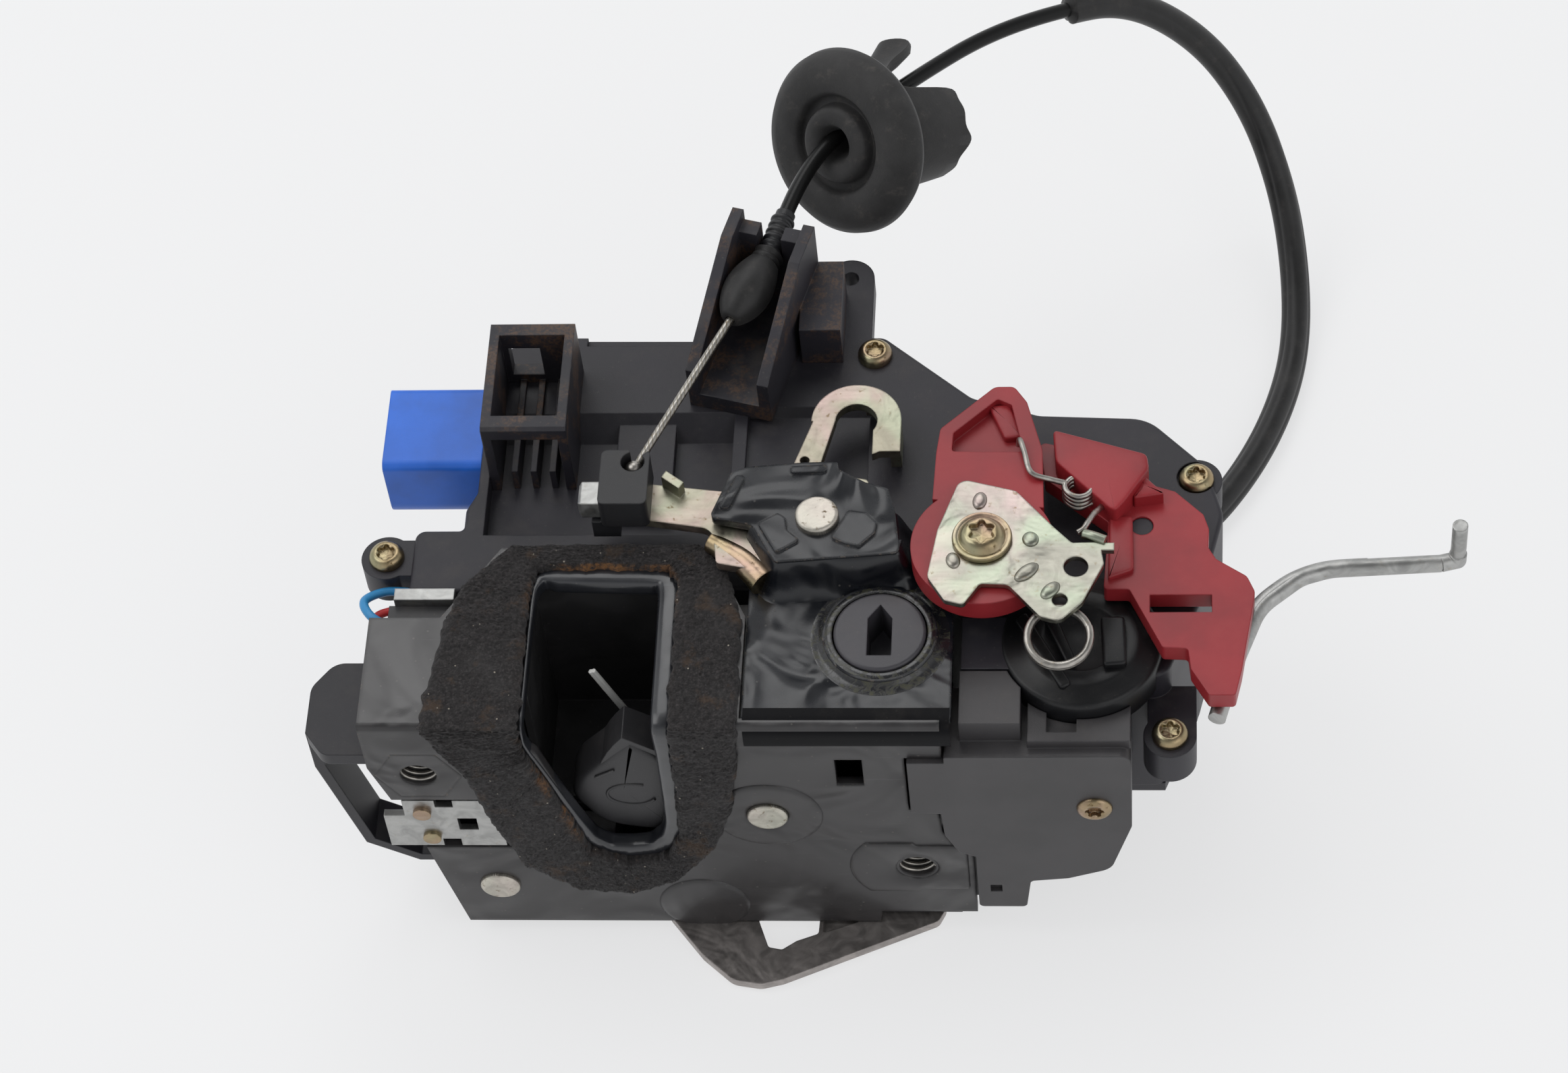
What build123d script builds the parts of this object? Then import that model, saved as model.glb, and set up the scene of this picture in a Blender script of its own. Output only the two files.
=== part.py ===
from build123d import *
import os
from math import atan2, cos, degrees, hypot, pi, radians, sin, sqrt, tan

# Vehicle door latch actuator: an L-shaped latch unit with a striker mouth,
# release levers, lock levers, a motor drive and a Bowden cable.
#
# Frame: the origin is the mouth of the right-hand fixing hole in the face plate.
# X runs along the fold between face and top, Y goes back from the face plate,
# Z is up.  Millimetres.

# ---------------------------------------------------------------- clearances
run_gap = 0.35          # between pieces that move past each other
pivot_clear = 0.06      # radial clearance of a lever on its pin
fit_gap = 0.3           # between separate pieces that only lie side by side

# ---------------------------------------------------------------- face plate
plate_t = 2.0           # sheet thickness of the face plate and its top flange
top_plane = 47.4        # top side of the flange above the fixing hole
plate_foot = -20.0      # lower edge of the face plate
plate_step = -16.2      # lower edge right of the step
plate_left = -98.6
plate_right = 10.6
flange_depth = 39.5     # how far the top flange runs back
box_depth = 24.0        # depth of the flange's left corner
fixing_r = 3.4          # wall radius of the threaded fixing holes
fixing_boss_r = 7.0
fixing_len = 9.0        # threaded length
fixing_left = (-89.5, 31.5)     # second hole from the first, X and Z

# ---------------------------------------------------------------- striker mouth
mouth_left = -69.5
mouth_right = -43.0
mouth_back = 34.0       # depth of the mouth behind the face
mouth_floor = 5.0
mouth_waist_x = -60.5   # left wall near the floor, in the face
mouth_waist_z = 12.0
mouth_shoulder_z = 42.0
liner_t = 1.5
seal_t = 2.2

# ---------------------------------------------------------------- claw and pawl
claw_pivot = (-26.6, 18.2)      # X and Z
pawl_pivot = (-79.2, -6.5)
rivet_r = 3.5
rivet_head_r = 3.75
rivet_head_h = 0.9
claw_front = 4.0
claw_t = 7.0
claw_hub_r = 13.0
claw_catch_r = 32.0     # long prong, the one the pawl holds
claw_guard_r = 24.0     # short prong
claw_slot = (118.0, 142.0)      # slot edges, degrees round the pivot, open
claw_guard_edge = 96.0
claw_catch_edge = 174.0
pawl_hub_r = 5.6

# ---------------------------------------------------------------- carrier
carrier_back = 28.0
carrier_wall = 2.5
pan_back = 12.0         # depth of the pocket that the claw turns in
carrier_foot = -19.8
table_level = -23.4     # lowest level, the feet
back_plate_t = 2.5
back_plate_top = 34.0

# ---------------------------------------------------------------- support plate and cap
support_left = -29.2
support_right = 8.2
cap_top = 55.4
cap_t = 2.0
lever_pivot = (-16.7, 40.3)
lever_rivet_r = 3.0
lever_head_r = 4.0
follower_at = (-4.9, 19.4)
follower_r = 8.4
follower_slot_w = 4.4
follower_slot_len = 10.4
follower_ring_w = 1.7

# ---------------------------------------------------------------- release levers
lever_t = 2.0
hook_z = 48.1
release_z = 50.5
lever_ring_r = 6.0
hook_flange = 4.6         # depth of the hook's turned-down rim
clip_at = (-50.7, 50.1)         # where the inner wire is held

# ---------------------------------------------------------------- housing
housing_top = 42.4
housing_base = 5.7
housing_front = 33.4
lobe_front = 32.4         # face of the motor lobe below it
deck_drop = 4.4           # low deck before the plateau that runs along the back
deck_slope = 4.1
plateau_front = 74.3
housing_wall = 2.5
cover_t = 2.5
lobe_left = -30.0
lobe_right = 40.0
lobe_back = 60.0
screw_head_r = 3.3
screw_head_h = 2.2
screw_shank_r = 1.7
dome_at = (31.2, 20.5)
dome_r = 14.5
dome_top = 44.9

# ---------------------------------------------------------------- lock levers
lock_pivot = (13.5, 33.9)
lock_screw_r = 2.6
lock_hub_r = 13.0
lock_lever_z = 51.2
lock_lever_t = 4.6
bracket_z = 56.2
bracket_t = 1.2
plate_pivot = (42.1, 41.9)
plate_pin_r = 2.0
lock_plate_z = 46.4
lock_plate_t = 3.8

# ---------------------------------------------------------------- link rod
rod_r = 1.6
rod_z = 44.0
rod_pin_r = 1.2
rod_tip_r = 1.4
rod_tip_at = (99.0, 38.4)
rod_shoulder = 2.0      # full thickness above the bend
rod_tip_len = 8.6

# ---------------------------------------------------------------- outer lever
outer_pivot = (-22.0, 19.0)
outer_t = 1.9
outer_top = -20.3

# ---------------------------------------------------------------- cable
cable_z = 57.2
wire_r = 0.75
wire_bore_r = 1.35
boot_tip = (-34.9, 84.9)
boot_neck = (-28.5, 103.3)
boot_r = 4.5
ferrule_r = 2.4
sheath_r = 1.5
sleeve_r = 3.0
grommet_r = 18.2


# ================================================================ helpers
def block(x, y, z):
    """Box between the two ends given for each direction."""
    sizes = (x[1] - x[0], y[1] - y[0], z[1] - z[0])
    middle = ((x[0] + x[1]) / 2, (y[0] + y[1]) / 2, (z[0] + z[1]) / 2)
    return Pos(*middle) * Box(*sizes)


def rod_along_z(at, z, radius):
    return Pos(at[0], at[1], (z[0] + z[1]) / 2) * Cylinder(radius, z[1] - z[0])


def rod_along_y(at, y, radius):
    """Cylinder along Y; at is X and Z."""
    middle = Pos(at[0], (y[0] + y[1]) / 2, at[1])
    return middle * Rot(90, 0, 0) * Cylinder(radius, y[1] - y[0])


def rod_along_x(at, x, radius):
    """Cylinder along X; at is Y and Z."""
    middle = Pos((x[0] + x[1]) / 2, at[0], at[1])
    return middle * Rot(0, 90, 0) * Cylinder(radius, x[1] - x[0])


def rod_between(start, end, radius):
    """Cylinder from one point to another."""
    axis = Vector(*end) - Vector(*start)
    plane = Plane(origin=start, z_dir=axis)
    return plane * Pos(0, 0, axis.length / 2) * Cylinder(radius, axis.length)


def flat_face(points, radii=0.0):
    """Closed outline with its corners rounded by one radius or a list."""
    face = make_face(Polyline(*points, close=True))
    if isinstance(radii, (int, float)):
        return fillet(face.vertices(), radii) if radii else face
    for point, radius in zip(points, radii):
        if radius:
            corner = min(face.vertices(), key=lambda v: hypot(v.X - point[0], v.Y - point[1]))
            face = fillet(corner, radius)
    return face


def sheet_xy(points, z, radii=0.0):
    """Outline in X and Y, carried from z[0] to z[1]."""
    return extrude(Pos(0, 0, z[0]) * flat_face(points, radii), z[1] - z[0])


def sheet_xz(points, y, radii=0.0):
    """Outline in X and Z, carried back from y[0] to y[1]."""
    face = Plane(origin=(0, y[1], 0), x_dir=(1, 0, 0), z_dir=(0, -1, 0)) * flat_face(points, radii)
    return extrude(face, y[1] - y[0])


def sheet_yz(points, x):
    """Outline in Y and Z, carried to the right from x[0] to x[1]."""
    face = Plane(origin=(x[0], 0, 0), x_dir=(0, 1, 0), z_dir=(1, 0, 0)) * flat_face(points)
    return extrude(face, x[1] - x[0])


def polar(centre, radius, angle):
    return (centre[0] + radius * cos(radians(angle)), centre[1] + radius * sin(radians(angle)))


def arc_points(centre, radius, start, end, steps):
    """Points round an arc, degrees."""
    return [polar(centre, radius, start + (end - start) * k / steps) for k in range(steps + 1)]


def torx_screw(at, top, depth, axis="z"):
    """Pan head, shank and six-lobe recess; top is the seat under the head."""
    head = Cylinder(screw_head_r, screw_head_h, align=(Align.CENTER, Align.CENTER, Align.MIN))
    head = fillet(head.edges().group_by(Axis.Z)[-1], screw_head_h * 0.4)
    shank = Cylinder(screw_shank_r, depth, align=(Align.CENTER, Align.CENTER, Align.MAX))
    recess = Pos(0, 0, screw_head_h - 1.1) * extrude(RegularPolygon(1.5, 6), 2)
    screw = head + shank - recess
    if axis == "z":
        return Pos(at[0], at[1], top) * screw
    return Pos(at[0], top, at[1]) * Rot(90, 0, 0) * screw


def path_tube(points, radius, shares):
    """Tube along straight runs joined by tangent arcs; returns it with its radii."""
    vectors = [Vector(*p) for p in points]
    radii = []
    for before, corner, after, share in zip(vectors, vectors[1:], vectors[2:], shares):
        turn = radians((corner - before).get_angle(after - corner))
        run = min((corner - before).length, (after - corner).length)
        radii.append(share * run / tan(turn / 2))
    path = FilletPolyline(*vectors, radius=radii)
    start = Plane(origin=path @ 0, z_dir=path % 0)
    tube = sweep(start * Circle(radius), path=path)
    return tube, radii, path


parts = {}

# ================================================================ face plate
plate_outline = [
    (plate_left, top_plane), (plate_left, 34.0), (-91.8, 8.6), (-86.8, plate_foot),
    (-8.0, plate_foot), (-7.5, plate_step), (plate_right, plate_step), (plate_right, 4.8),
    (7.6, 6.2), (5.2, 12.4), (4.8, 19.6), (-0.6, 20.0), (-0.6, 37.4), (6.2, 37.4), (6.2, top_plane)]
flange_outline = [
    (plate_left, 0), (plate_left, box_depth), (-85.5, box_depth), (-75.5, flange_depth),
    (-37.0, flange_depth), (-29.6, box_depth), (-29.6, 0)]
mouth_outline = [
    (mouth_left, top_plane + 1), (mouth_left, mouth_shoulder_z), (-67.0, 38.5),
    (mouth_waist_x, mouth_waist_z), (-57.5, mouth_floor), (-48.5, mouth_floor),
    (mouth_right, 14.0), (mouth_right, top_plane + 1)]
mouth_radii = [0, 1.5, 3.0, 3.0, 3.5, 4.0, 4.0, 0]
slider_window = ((-100.0, -72.6), (6.6, 23.2))


def fixing_nut(at, extra, front=0.0):
    """Hexagon of the press-in nut, extra larger all round."""
    corners = [polar(at, (fixing_boss_r + extra) / cos(radians(30)), 60 * k) for k in range(6)]
    return sheet_xz(corners, (front, fixing_len + extra))


for side, at in (("right", (0, 0)), ("left", fixing_left)):
    parts[f"fixing_nut_{side}"] = fixing_nut(at, 0) - rod_along_y(at, (-1, fixing_len + 1), fixing_r)


def latch_plate():
    face = sheet_xz(plate_outline, (0, plate_t))
    flange = sheet_xy(flange_outline, (top_plane - plate_t, top_plane))
    side = block((plate_left, plate_left + plate_t), (0, box_depth), (34.0, top_plane))
    body = face + flange + side
    fold = [e for e in body.edges().filter_by(Axis.X)
            if abs(e.center().Y) < 0.01 and abs(e.center().Z - top_plane) < 0.01]
    body = fillet(fold, 1.2)
    for at in ((0, 0), fixing_left):
        body -= fixing_nut(at, 0, -1)
    body -= sheet_xz(mouth_outline, (-1, plate_t + 1), mouth_radii)
    body -= block((mouth_left - liner_t, mouth_right + liner_t), (-1, mouth_back + liner_t),
                  (top_plane - plate_t - 1, top_plane + 1))
    body -= block(slider_window[0], (-1, plate_t + 1), slider_window[1])
    body -= block((-13.2, -8.2), (-1, plate_t + 1), (28.2, 36.8))
    for at in (claw_pivot, pawl_pivot):
        body -= rod_along_y(at, (-1, plate_t + 1), rivet_r)
    return body


parts["latch_plate"] = latch_plate()


# ================================================================ carrier behind the face
def inset_outline(extra):
    """The carrier's outline, extra smaller than the face plate's."""
    return [
        (plate_left + 3 + extra, top_plane - plate_t - extra), (plate_left + 3 + extra, 33.0),
        (-89.5 + extra, 7.5), (-84.8 + extra, carrier_foot + extra),
        (7.5 - extra, carrier_foot + extra), (7.5 - extra, 2.0), (3.6 - extra, 11.0),
        (3.6 - extra, 17.8), (-2.6 - extra, 18.4), (-2.6 - extra, 39.8),
        (5.6 - extra, 39.8 + extra), (5.6 - extra, top_plane - plate_t - extra)]


def latch_carrier():
    body = sheet_xz(inset_outline(0), (plate_t, carrier_back))
    pocket = sheet_xz(inset_outline(carrier_wall), (plate_t - 1, pan_back))
    pocket += rod_along_y(pawl_pivot, (plate_t - 1, pan_back), pawl_hub_r + run_gap)
    keep_fixings = [rod_along_y(at, (plate_t, pan_back), fixing_boss_r + carrier_wall)
                    for at in ((0, 0), fixing_left)]
    for boss in keep_fixings:
        pocket -= boss
    body -= pocket
    for at in ((0, 0), fixing_left):
        body -= fixing_nut(at, fit_gap)
    body -= block((mouth_left - liner_t - fit_gap, mouth_right + liner_t + fit_gap),
                  (0, carrier_back + 1), (mouth_floor - liner_t - fit_gap, top_plane))
    body -= rod_along_z(follower_at, (37.0, top_plane), follower_r + 0.6)
    for at in (claw_pivot, pawl_pivot):
        body -= rod_along_y(at, (0, carrier_back + 1), rivet_r)
    body += block((-84.0, -60.0), (plate_t + 1, carrier_back - 1), (table_level, carrier_foot + 1))
    body -= rod_along_z(outer_pivot, (table_level, carrier_foot + 8), 2.0)
    return body


parts["latch_carrier"] = latch_carrier()

back_outline = [
    (-94.5, top_plane), (-94.5, 30.0), (-88.0, -18.0), (6.5, -18.0), (6.5, 16.0), (-8.0, back_plate_top),
    (mouth_right + liner_t + fit_gap, back_plate_top),
    (mouth_right + liner_t + fit_gap, mouth_floor - liner_t - fit_gap),
    (mouth_left - liner_t - fit_gap, mouth_floor - liner_t - fit_gap),
    (mouth_left - liner_t - fit_gap, 36.0), (-83.4, 38.0), (-83.4, top_plane)]
back_end = carrier_back + back_plate_t
back_plate = sheet_xz(back_outline, (carrier_back, back_end))
for pivot in (claw_pivot, pawl_pivot):
    back_plate -= rod_along_y(pivot, (0, back_end + 1), rivet_r)
for pad_x, pad_z in (((-92.0, -87.0), (36.0, 41.0)), ((-6.0, 4.0), (9.0, 14.0))):
    back_plate += block(pad_x, (back_end, housing_front - fit_gap), pad_z)
parts["back_plate"] = back_plate


def long_rivet(at):
    shank = rod_along_y(at, (0, back_end), rivet_r)
    front = rod_along_y(at, (-rivet_head_h, 0), rivet_head_r)
    back = rod_along_y(at, (back_end, back_end + 1.2), rivet_head_r + 0.6)
    front = chamfer(front.edges().group_by(Axis.Y)[0], 0.3)
    return shank + front + back


parts["claw_rivet"] = long_rivet(claw_pivot)
parts["pawl_rivet"] = long_rivet(pawl_pivot)


# ================================================================ claw and pawl
def claw():
    """Fork with a long and a short prong either side of the striker slot."""
    c = claw_pivot
    slot_low, slot_high = claw_slot
    points = arc_points(c, claw_hub_r, claw_catch_edge + 20, claw_guard_edge - 18 + 360, 18)
    points += arc_points(c, claw_guard_r, claw_guard_edge, slot_low - 2, 3)
    points += [polar(c, claw_hub_r + 1, slot_low + 6), polar(c, claw_hub_r, 130),
               polar(c, claw_hub_r + 1, slot_high - 2)]
    points += arc_points(c, claw_catch_r, slot_high, claw_catch_edge, 6)
    body = sheet_xz(points, (claw_front, claw_front + claw_t))
    body -= rod_along_y(c, (0, carrier_back), rivet_r + pivot_clear)
    return body


parts["rotary_claw"] = claw()


def pawl():
    """Lever with a tooth towards the claw and a tail for the release."""
    x, z = pawl_pivot
    arm = [(x + 1, z + 6.2), (x + 14, z + 8.5), (-57.0, 1.6), (-56.2, -3.0), (x + 12, z - 1.5),
           (x + 4, z - 5.2)]
    tail = [(x - 3, z - 4.6), (x + 4, z - 5.0), (x + 8.2, z - 8.6), (x + 4.6, z - 9.0)]
    y = (claw_front, claw_front + claw_t)
    body = rod_along_y(pawl_pivot, y, pawl_hub_r) + sheet_xz(arm, y) + sheet_xz(tail, y)
    return body - rod_along_y(pawl_pivot, (0, carrier_back), rivet_r + pivot_clear)


parts["pawl"] = pawl()

# ================================================================ mouth liner and seal
liner_z = (mouth_floor - liner_t, top_plane - 0.2)
liner_out = block((mouth_left - liner_t, mouth_right + liner_t), (pan_back + fit_gap, mouth_back + liner_t), liner_z)
liner_in = block((mouth_left, mouth_right), (0, mouth_back), (mouth_floor, top_plane + 1))
parts["mouth_liner"] = liner_out - liner_in

seal_face = [
    (-87.4, top_plane + seal_t), (-80.5, 33.0), (-78.0, 18.0), (-73.0, 1.0), (-63.5, -6.5),
    (-53.0, -7.0), (-44.5, -2.0), (-36.5, 9.5), (-32.4, 23.3), (-29.9, top_plane + seal_t)]
seal_top = [(-87.4, -seal_t), (-84.4, 23.0), (-74.4, 39.1), (-37.6, 39.1), (-30.2, 23.3), (-29.9, -seal_t)]
seal_lip = 1.0


def mouth_seal():
    """Foam band that wraps the face and the top round the mouth."""
    front = sheet_xz(seal_face, (-seal_t, 0), [0, 4, 4, 8, 8, 8, 8, 8, 4, 0])
    top = sheet_xy(seal_top, (top_plane, top_plane + seal_t), [0, 3, 4, 4, 3, 0])
    body = front + top
    lip = [(p[0] + (seal_lip if p[0] < -56 else -seal_lip), p[1]) for p in mouth_outline]
    lip = [(x, z + seal_t + 1 if z > top_plane else z + 0.5) for x, z in lip]
    body -= sheet_xz(lip, (-seal_t - 1, 1), mouth_radii)
    body -= block((mouth_left + seal_lip, mouth_right - seal_lip), (-seal_t - 1, mouth_back - seal_lip),
                  (top_plane - 1, top_plane + seal_t + 1))
    return body


parts["mouth_seal"] = mouth_seal()


# ================================================================ lock slider in the face
def lock_slider():
    x0, z0 = -98.0, 7.2
    plate = block((x0, -76.2), (0.1, 1.5), (z0, 22.6))
    plate -= block((-88.0, -84.6), (0, 2), (7, 9.5)) + block((-88.0, -84.6), (0, 2), (20.4, 23))
    plate -= block((-84.4, -80.8), (0, 2), (12.6, 16.6))
    return plate - block((x0 - 1, -94.0), (0, 2), (17.5, 23))


parts["lock_slider"] = lock_slider()
slider_rivet_at = ((-90.6, 18.8), (-89.8, 10.6))
studs = [rod_along_y(at, (-0.7, 0.1), 1.7) for at in slider_rivet_at]
parts["slider_rivets"] = Compound(children=studs)

# ================================================================ support plate with the cap
cap_floor = cap_top - cap_t
support_outline = [
    (support_left, plate_t), (support_right, plate_t), (support_right, 24.0), (3.0, 33.6), (-1.2, 35.6),
    (-24.4, 33.0), (support_left, 33.0)]
cap_outline = [
    (-36.4, 40.6), (-28.5, 38.8), (-25.4, 33.0), (-23.9, 30.4), (-1.4, 32.4), (-2.6, 42.1), (-4.0, 46.8),
    (-8.2, 48.2), (-13.2, 51.2), (-13.5, 52.9), (-19.7, 52.8), (-29.8, 51.9), (-32.9, 50.8)]
cap_relief = 0.5          # height of the pressed teeth and ridges
cap_teeth = [
    [(-27.4, 38.8), (-23.9, 41.1), (-22.5, 40.0), (-22.1, 37.3), (-19.6, 35.0), (-23.8, 32.2)],
    [(-11.0, 41.6), (-7.9, 41.1), (-5.7, 38.7), (-6.1, 36.4), (-8.8, 33.6), (-11.3, 34.2), (-14.0, 35.6),
     (-13.0, 37.6)],
    [(-34.8, 42.2), (-32.9, 42.2), (-30.2, 49.6), (-32.0, 49.6)],
    [(-22.2, 51.6), (-15.6, 51.9), (-15.2, 50.4), (-21.8, 50.1)]]
step_outline = [(-24.0, 31.0), (-1.6, 33.4), (-1.2, 35.6), (-24.4, 33.1)]
support_z = (top_plane - plate_t, top_plane)


def support_plate():
    body = sheet_xy(support_outline, support_z, [0.5, 0.5, 5, 5, 0.5, 0.5, 0.5])
    body += sheet_xy(cap_outline, (cap_floor, cap_top), [1, 2, 1, 1, 1, 2, 1, 2, 1, 0.5, 0.5, 1, 2])
    for tooth in cap_teeth:
        body += sheet_xy(tooth, (cap_top - 0.5, cap_top + cap_relief), 0.6)
    body += sheet_xy(step_outline, (top_plane - plate_t, cap_top - 0.4))
    ring = rod_along_z(follower_at, (top_plane, top_plane + 1.4), follower_r + run_gap + follower_ring_w)
    body += ring
    body -= rod_along_z(follower_at, (top_plane - 5, top_plane + 5), follower_r + run_gap)
    body -= rod_along_z(lever_pivot, (cap_floor - 1, cap_top + 1), lever_rivet_r)
    return body


parts["support_plate"] = support_plate()


def lock_follower():
    """Disc turned by the lock cylinder's blade, with an arrow-ended slot."""
    x, y = follower_at
    body = rod_along_z(follower_at, (39.0, top_plane + 2.0), follower_r)
    body = fillet(body.edges().group_by(Axis.Z)[-1], 0.6)
    half, low = follower_slot_w / 2, y - follower_slot_len / 2
    high = y + follower_slot_len / 2
    slot = [(x - half, low), (x + half, low), (x + half, high - 2.4), (x, high + 0.6), (x - half, high - 2.4)]
    return body - sheet_xy(slot, (41.0, top_plane + 3))


parts["lock_follower"] = lock_follower()


# ================================================================ release levers
def lever_ring(z, radius=lever_ring_r):
    return rod_along_z(lever_pivot, z, radius)


def hook_lever():
    """Lever that ends in an open hook for the outside handle."""
    z = (hook_z, hook_z + lever_t)
    x, y = lever_pivot
    base = [(x - 5.5, y + 1), (x - 13.4, y + 11.0), (-30.1, 54.4), (-22.6, 54.8), (-18.9, 66.5),
            (-14.8, 66.5), (-17.6, 54.4), (-7.8, 52.6), (x + 5.5, y + 2)]
    body = lever_ring(z) + sheet_xy(base, z, [0, 1, 1, 2, 0, 0, 2, 1, 0])
    bow = (-10.9, 66.3)
    hook = rod_along_z(bow, z, 8.4) - rod_along_z(bow, (hook_z - 1, hook_z + 5), 3.9)
    hook -= sheet_xy([bow, (bow[0] - 2.4, 40), (bow[0] + 3.2, 40)], (hook_z - 1, hook_z + 5))
    hook -= block((-24, bow[0] + 3.2), (52.5, bow[1] - 0.01), (hook_z - 1, hook_z + 5))
    tip = block((bow[0] + 3.9, bow[0] + 8.4), (59.2, bow[1]), z)
    body += hook + tip
    low = hook_z - hook_flange
    skirt = rod_along_z(bow, (low, z[1]), 8.4) - rod_along_z(bow, (low - 1, z[1] + 1), 8.4 - lever_t)
    reach = [bow, (bow[0] + 20, bow[1]), (bow[0] + 20, bow[1] + 20), (bow[0] + 4, bow[1] + 20)]
    body += skirt & sheet_xy(reach, (low - 1, z[1] + 1))
    body += block((bow[0] + 8.4 - lever_t, bow[0] + 8.4), (60.4, bow[1] + 0.1), (low, z[1]))
    body -= rod_along_z((-20.1, 57.2), (hook_z - 1, hook_z + 5), 0.9)
    return body - rod_along_z(lever_pivot, (hook_z - 1, hook_z + 5), lever_rivet_r + pivot_clear)


parts["hook_lever"] = hook_lever()


def release_lever():
    """Lever pulled by the cable: a long arm to the left and a bent-up stop."""
    z = (release_z, release_z + lever_t)
    x, y = lever_pivot
    arm = [(x, y + 5.8), (-36.0, 48.6), (-50.2, 50.4), (-51.6, 47.6), (-51.6, 42.6), (-36.0, 40.0),
           (-35.0, 32.4), (-26.4, 30.6), (x - 6, y - 4.0), (x, y - 5.9)]
    body = lever_ring(z) + sheet_xy(arm, z, [0, 2, 2, 1, 2, 3, 1, 1, 2, 0])
    tab = [(-45.8, 49.6), (-42.4, 47.0), (-41.6, 48.4), (-45.0, 51.0)]
    body += sheet_xy(tab, (release_z, release_z + 5.0))
    return body - rod_along_z(lever_pivot, (release_z - 1, release_z + 5), lever_rivet_r + pivot_clear)


wire_dir = (boot_tip[0] - clip_at[0], boot_tip[1] - clip_at[1])
wire_angle = degrees(atan2(wire_dir[1], wire_dir[0]))


def cable_end_block():
    """Plastic block on the lever's end; a slot lets the wire turn in it."""
    z = (release_z + lever_t, cable_z + 2.4)
    body = block((-56.6, -47.6), (40.6, 52.8), z)
    body = fillet(body.edges().filter_by(Axis.Z), 1.2)
    body += block((-58.4, -53.4), (41.6, 49.0), (release_z - 2.5, release_z + lever_t)) \
        - block((-51.9, -40), (30, 60), (0, 90))
    body -= rod_along_z(clip_at, (cable_z - 2.0, cable_z + 9), 2.2)
    open_side = [clip_at] + [polar(clip_at, 9, wire_angle + a) for a in (-24, -8, 8, 24, 40)]
    body -= sheet_xy(open_side, (cable_z - 1.3, cable_z + 9))
    return body - release_lever()


parts["release_lever"] = release_lever()
parts["cable_end_block"] = cable_end_block()
stub = block((-60.6, -56.6), (42.4, 47.4), (release_z + 2.4, release_z + 6.6))
parts["cable_stop_stub"] = chamfer(stub.edges().group_by(Axis.X)[0], 0.5)
rivet_top = cap_top + 1.5
lever_head = rod_along_z(lever_pivot, (cap_top, rivet_top), lever_head_r)
lever_head = fillet(lever_head.edges().group_by(Axis.Z)[-1], 0.7)
parts["lever_rivet"] = lever_head + rod_along_z(lever_pivot, (34.0, cap_top), lever_rivet_r)

wire_start = (clip_at[0], clip_at[1], cable_z)
wire_tip = (*polar(boot_tip, 2.5, wire_angle), cable_z)
parts["inner_wire"] = rod_between(wire_start, wire_tip, wire_r) + Pos(*wire_start) * Sphere(1.6)

# ================================================================ housing
housing_outline = [
    (-93.0, housing_front), (-93.0, 47.3), (-84.0, 47.3), (-84.0, 52.0), (-82.2, 56.0), (-82.2, 86.0),
    (-79.0, 90.5), (-66.0, 92.8), (-7.0, 92.2), (10.0, 77.6), (22.7, 73.3), (43.0, 72.4),
    (54.0, 61.0), (57.0, 50.0), (52.4, 30.0), (46.4, 14.4), (9.6, 14.4), (9.6, housing_front)]
housing_radii = [1, 2, 1, 2, 2, 3, 3, 3, 3, 4, 5, 8, 6, 6, 6, 4, 1, 0.5]
cavity_outline = [
    (-90.0, housing_front + 1.6), (-90.0, 44.6), (-81.2, 44.6), (-79.6, 56.0), (-79.6, 85.0), (-65.0, 90.2),
    (-8.0, 89.6), (9.0, 75.0), (22.0, 70.7), (41.5, 69.8), (51.2, 59.5), (54.0, 50.0),
    (49.6, 31.0), (44.0, 17.0), (13.0, 17.0), (13.0, housing_front + 1.6)]
ear_left = (-98.0, 41.6)
ear_right = (52.0, 58.4)
ear_front = (47.0, 6.4)
ear_far = (-14.0, 106.4)
ear_r = 4.8
ear_t = 8.0
eye_r = 1.6
ear_low = 35.0
right_base = -12.6


deck = housing_top - deck_drop
deck_left = -80.2
deck_mid = -34.6          # the low deck's right side
deck_right = -9.0
deck_near = 46.0
ledge_drop = 1.6          # step along the back edge and the shallow deck on the right


def deck_space(x, y, drop):
    """What is cut from the top down to a deck that ramps up to the plateau."""
    low, slope = housing_top - drop, deck_slope * drop / deck_drop
    return sheet_yz([(y[0], low), (y[1] - slope, low), (y[1], housing_top), (y[1], housing_top + 2),
                     (y[0], housing_top + 2)], x)


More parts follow.
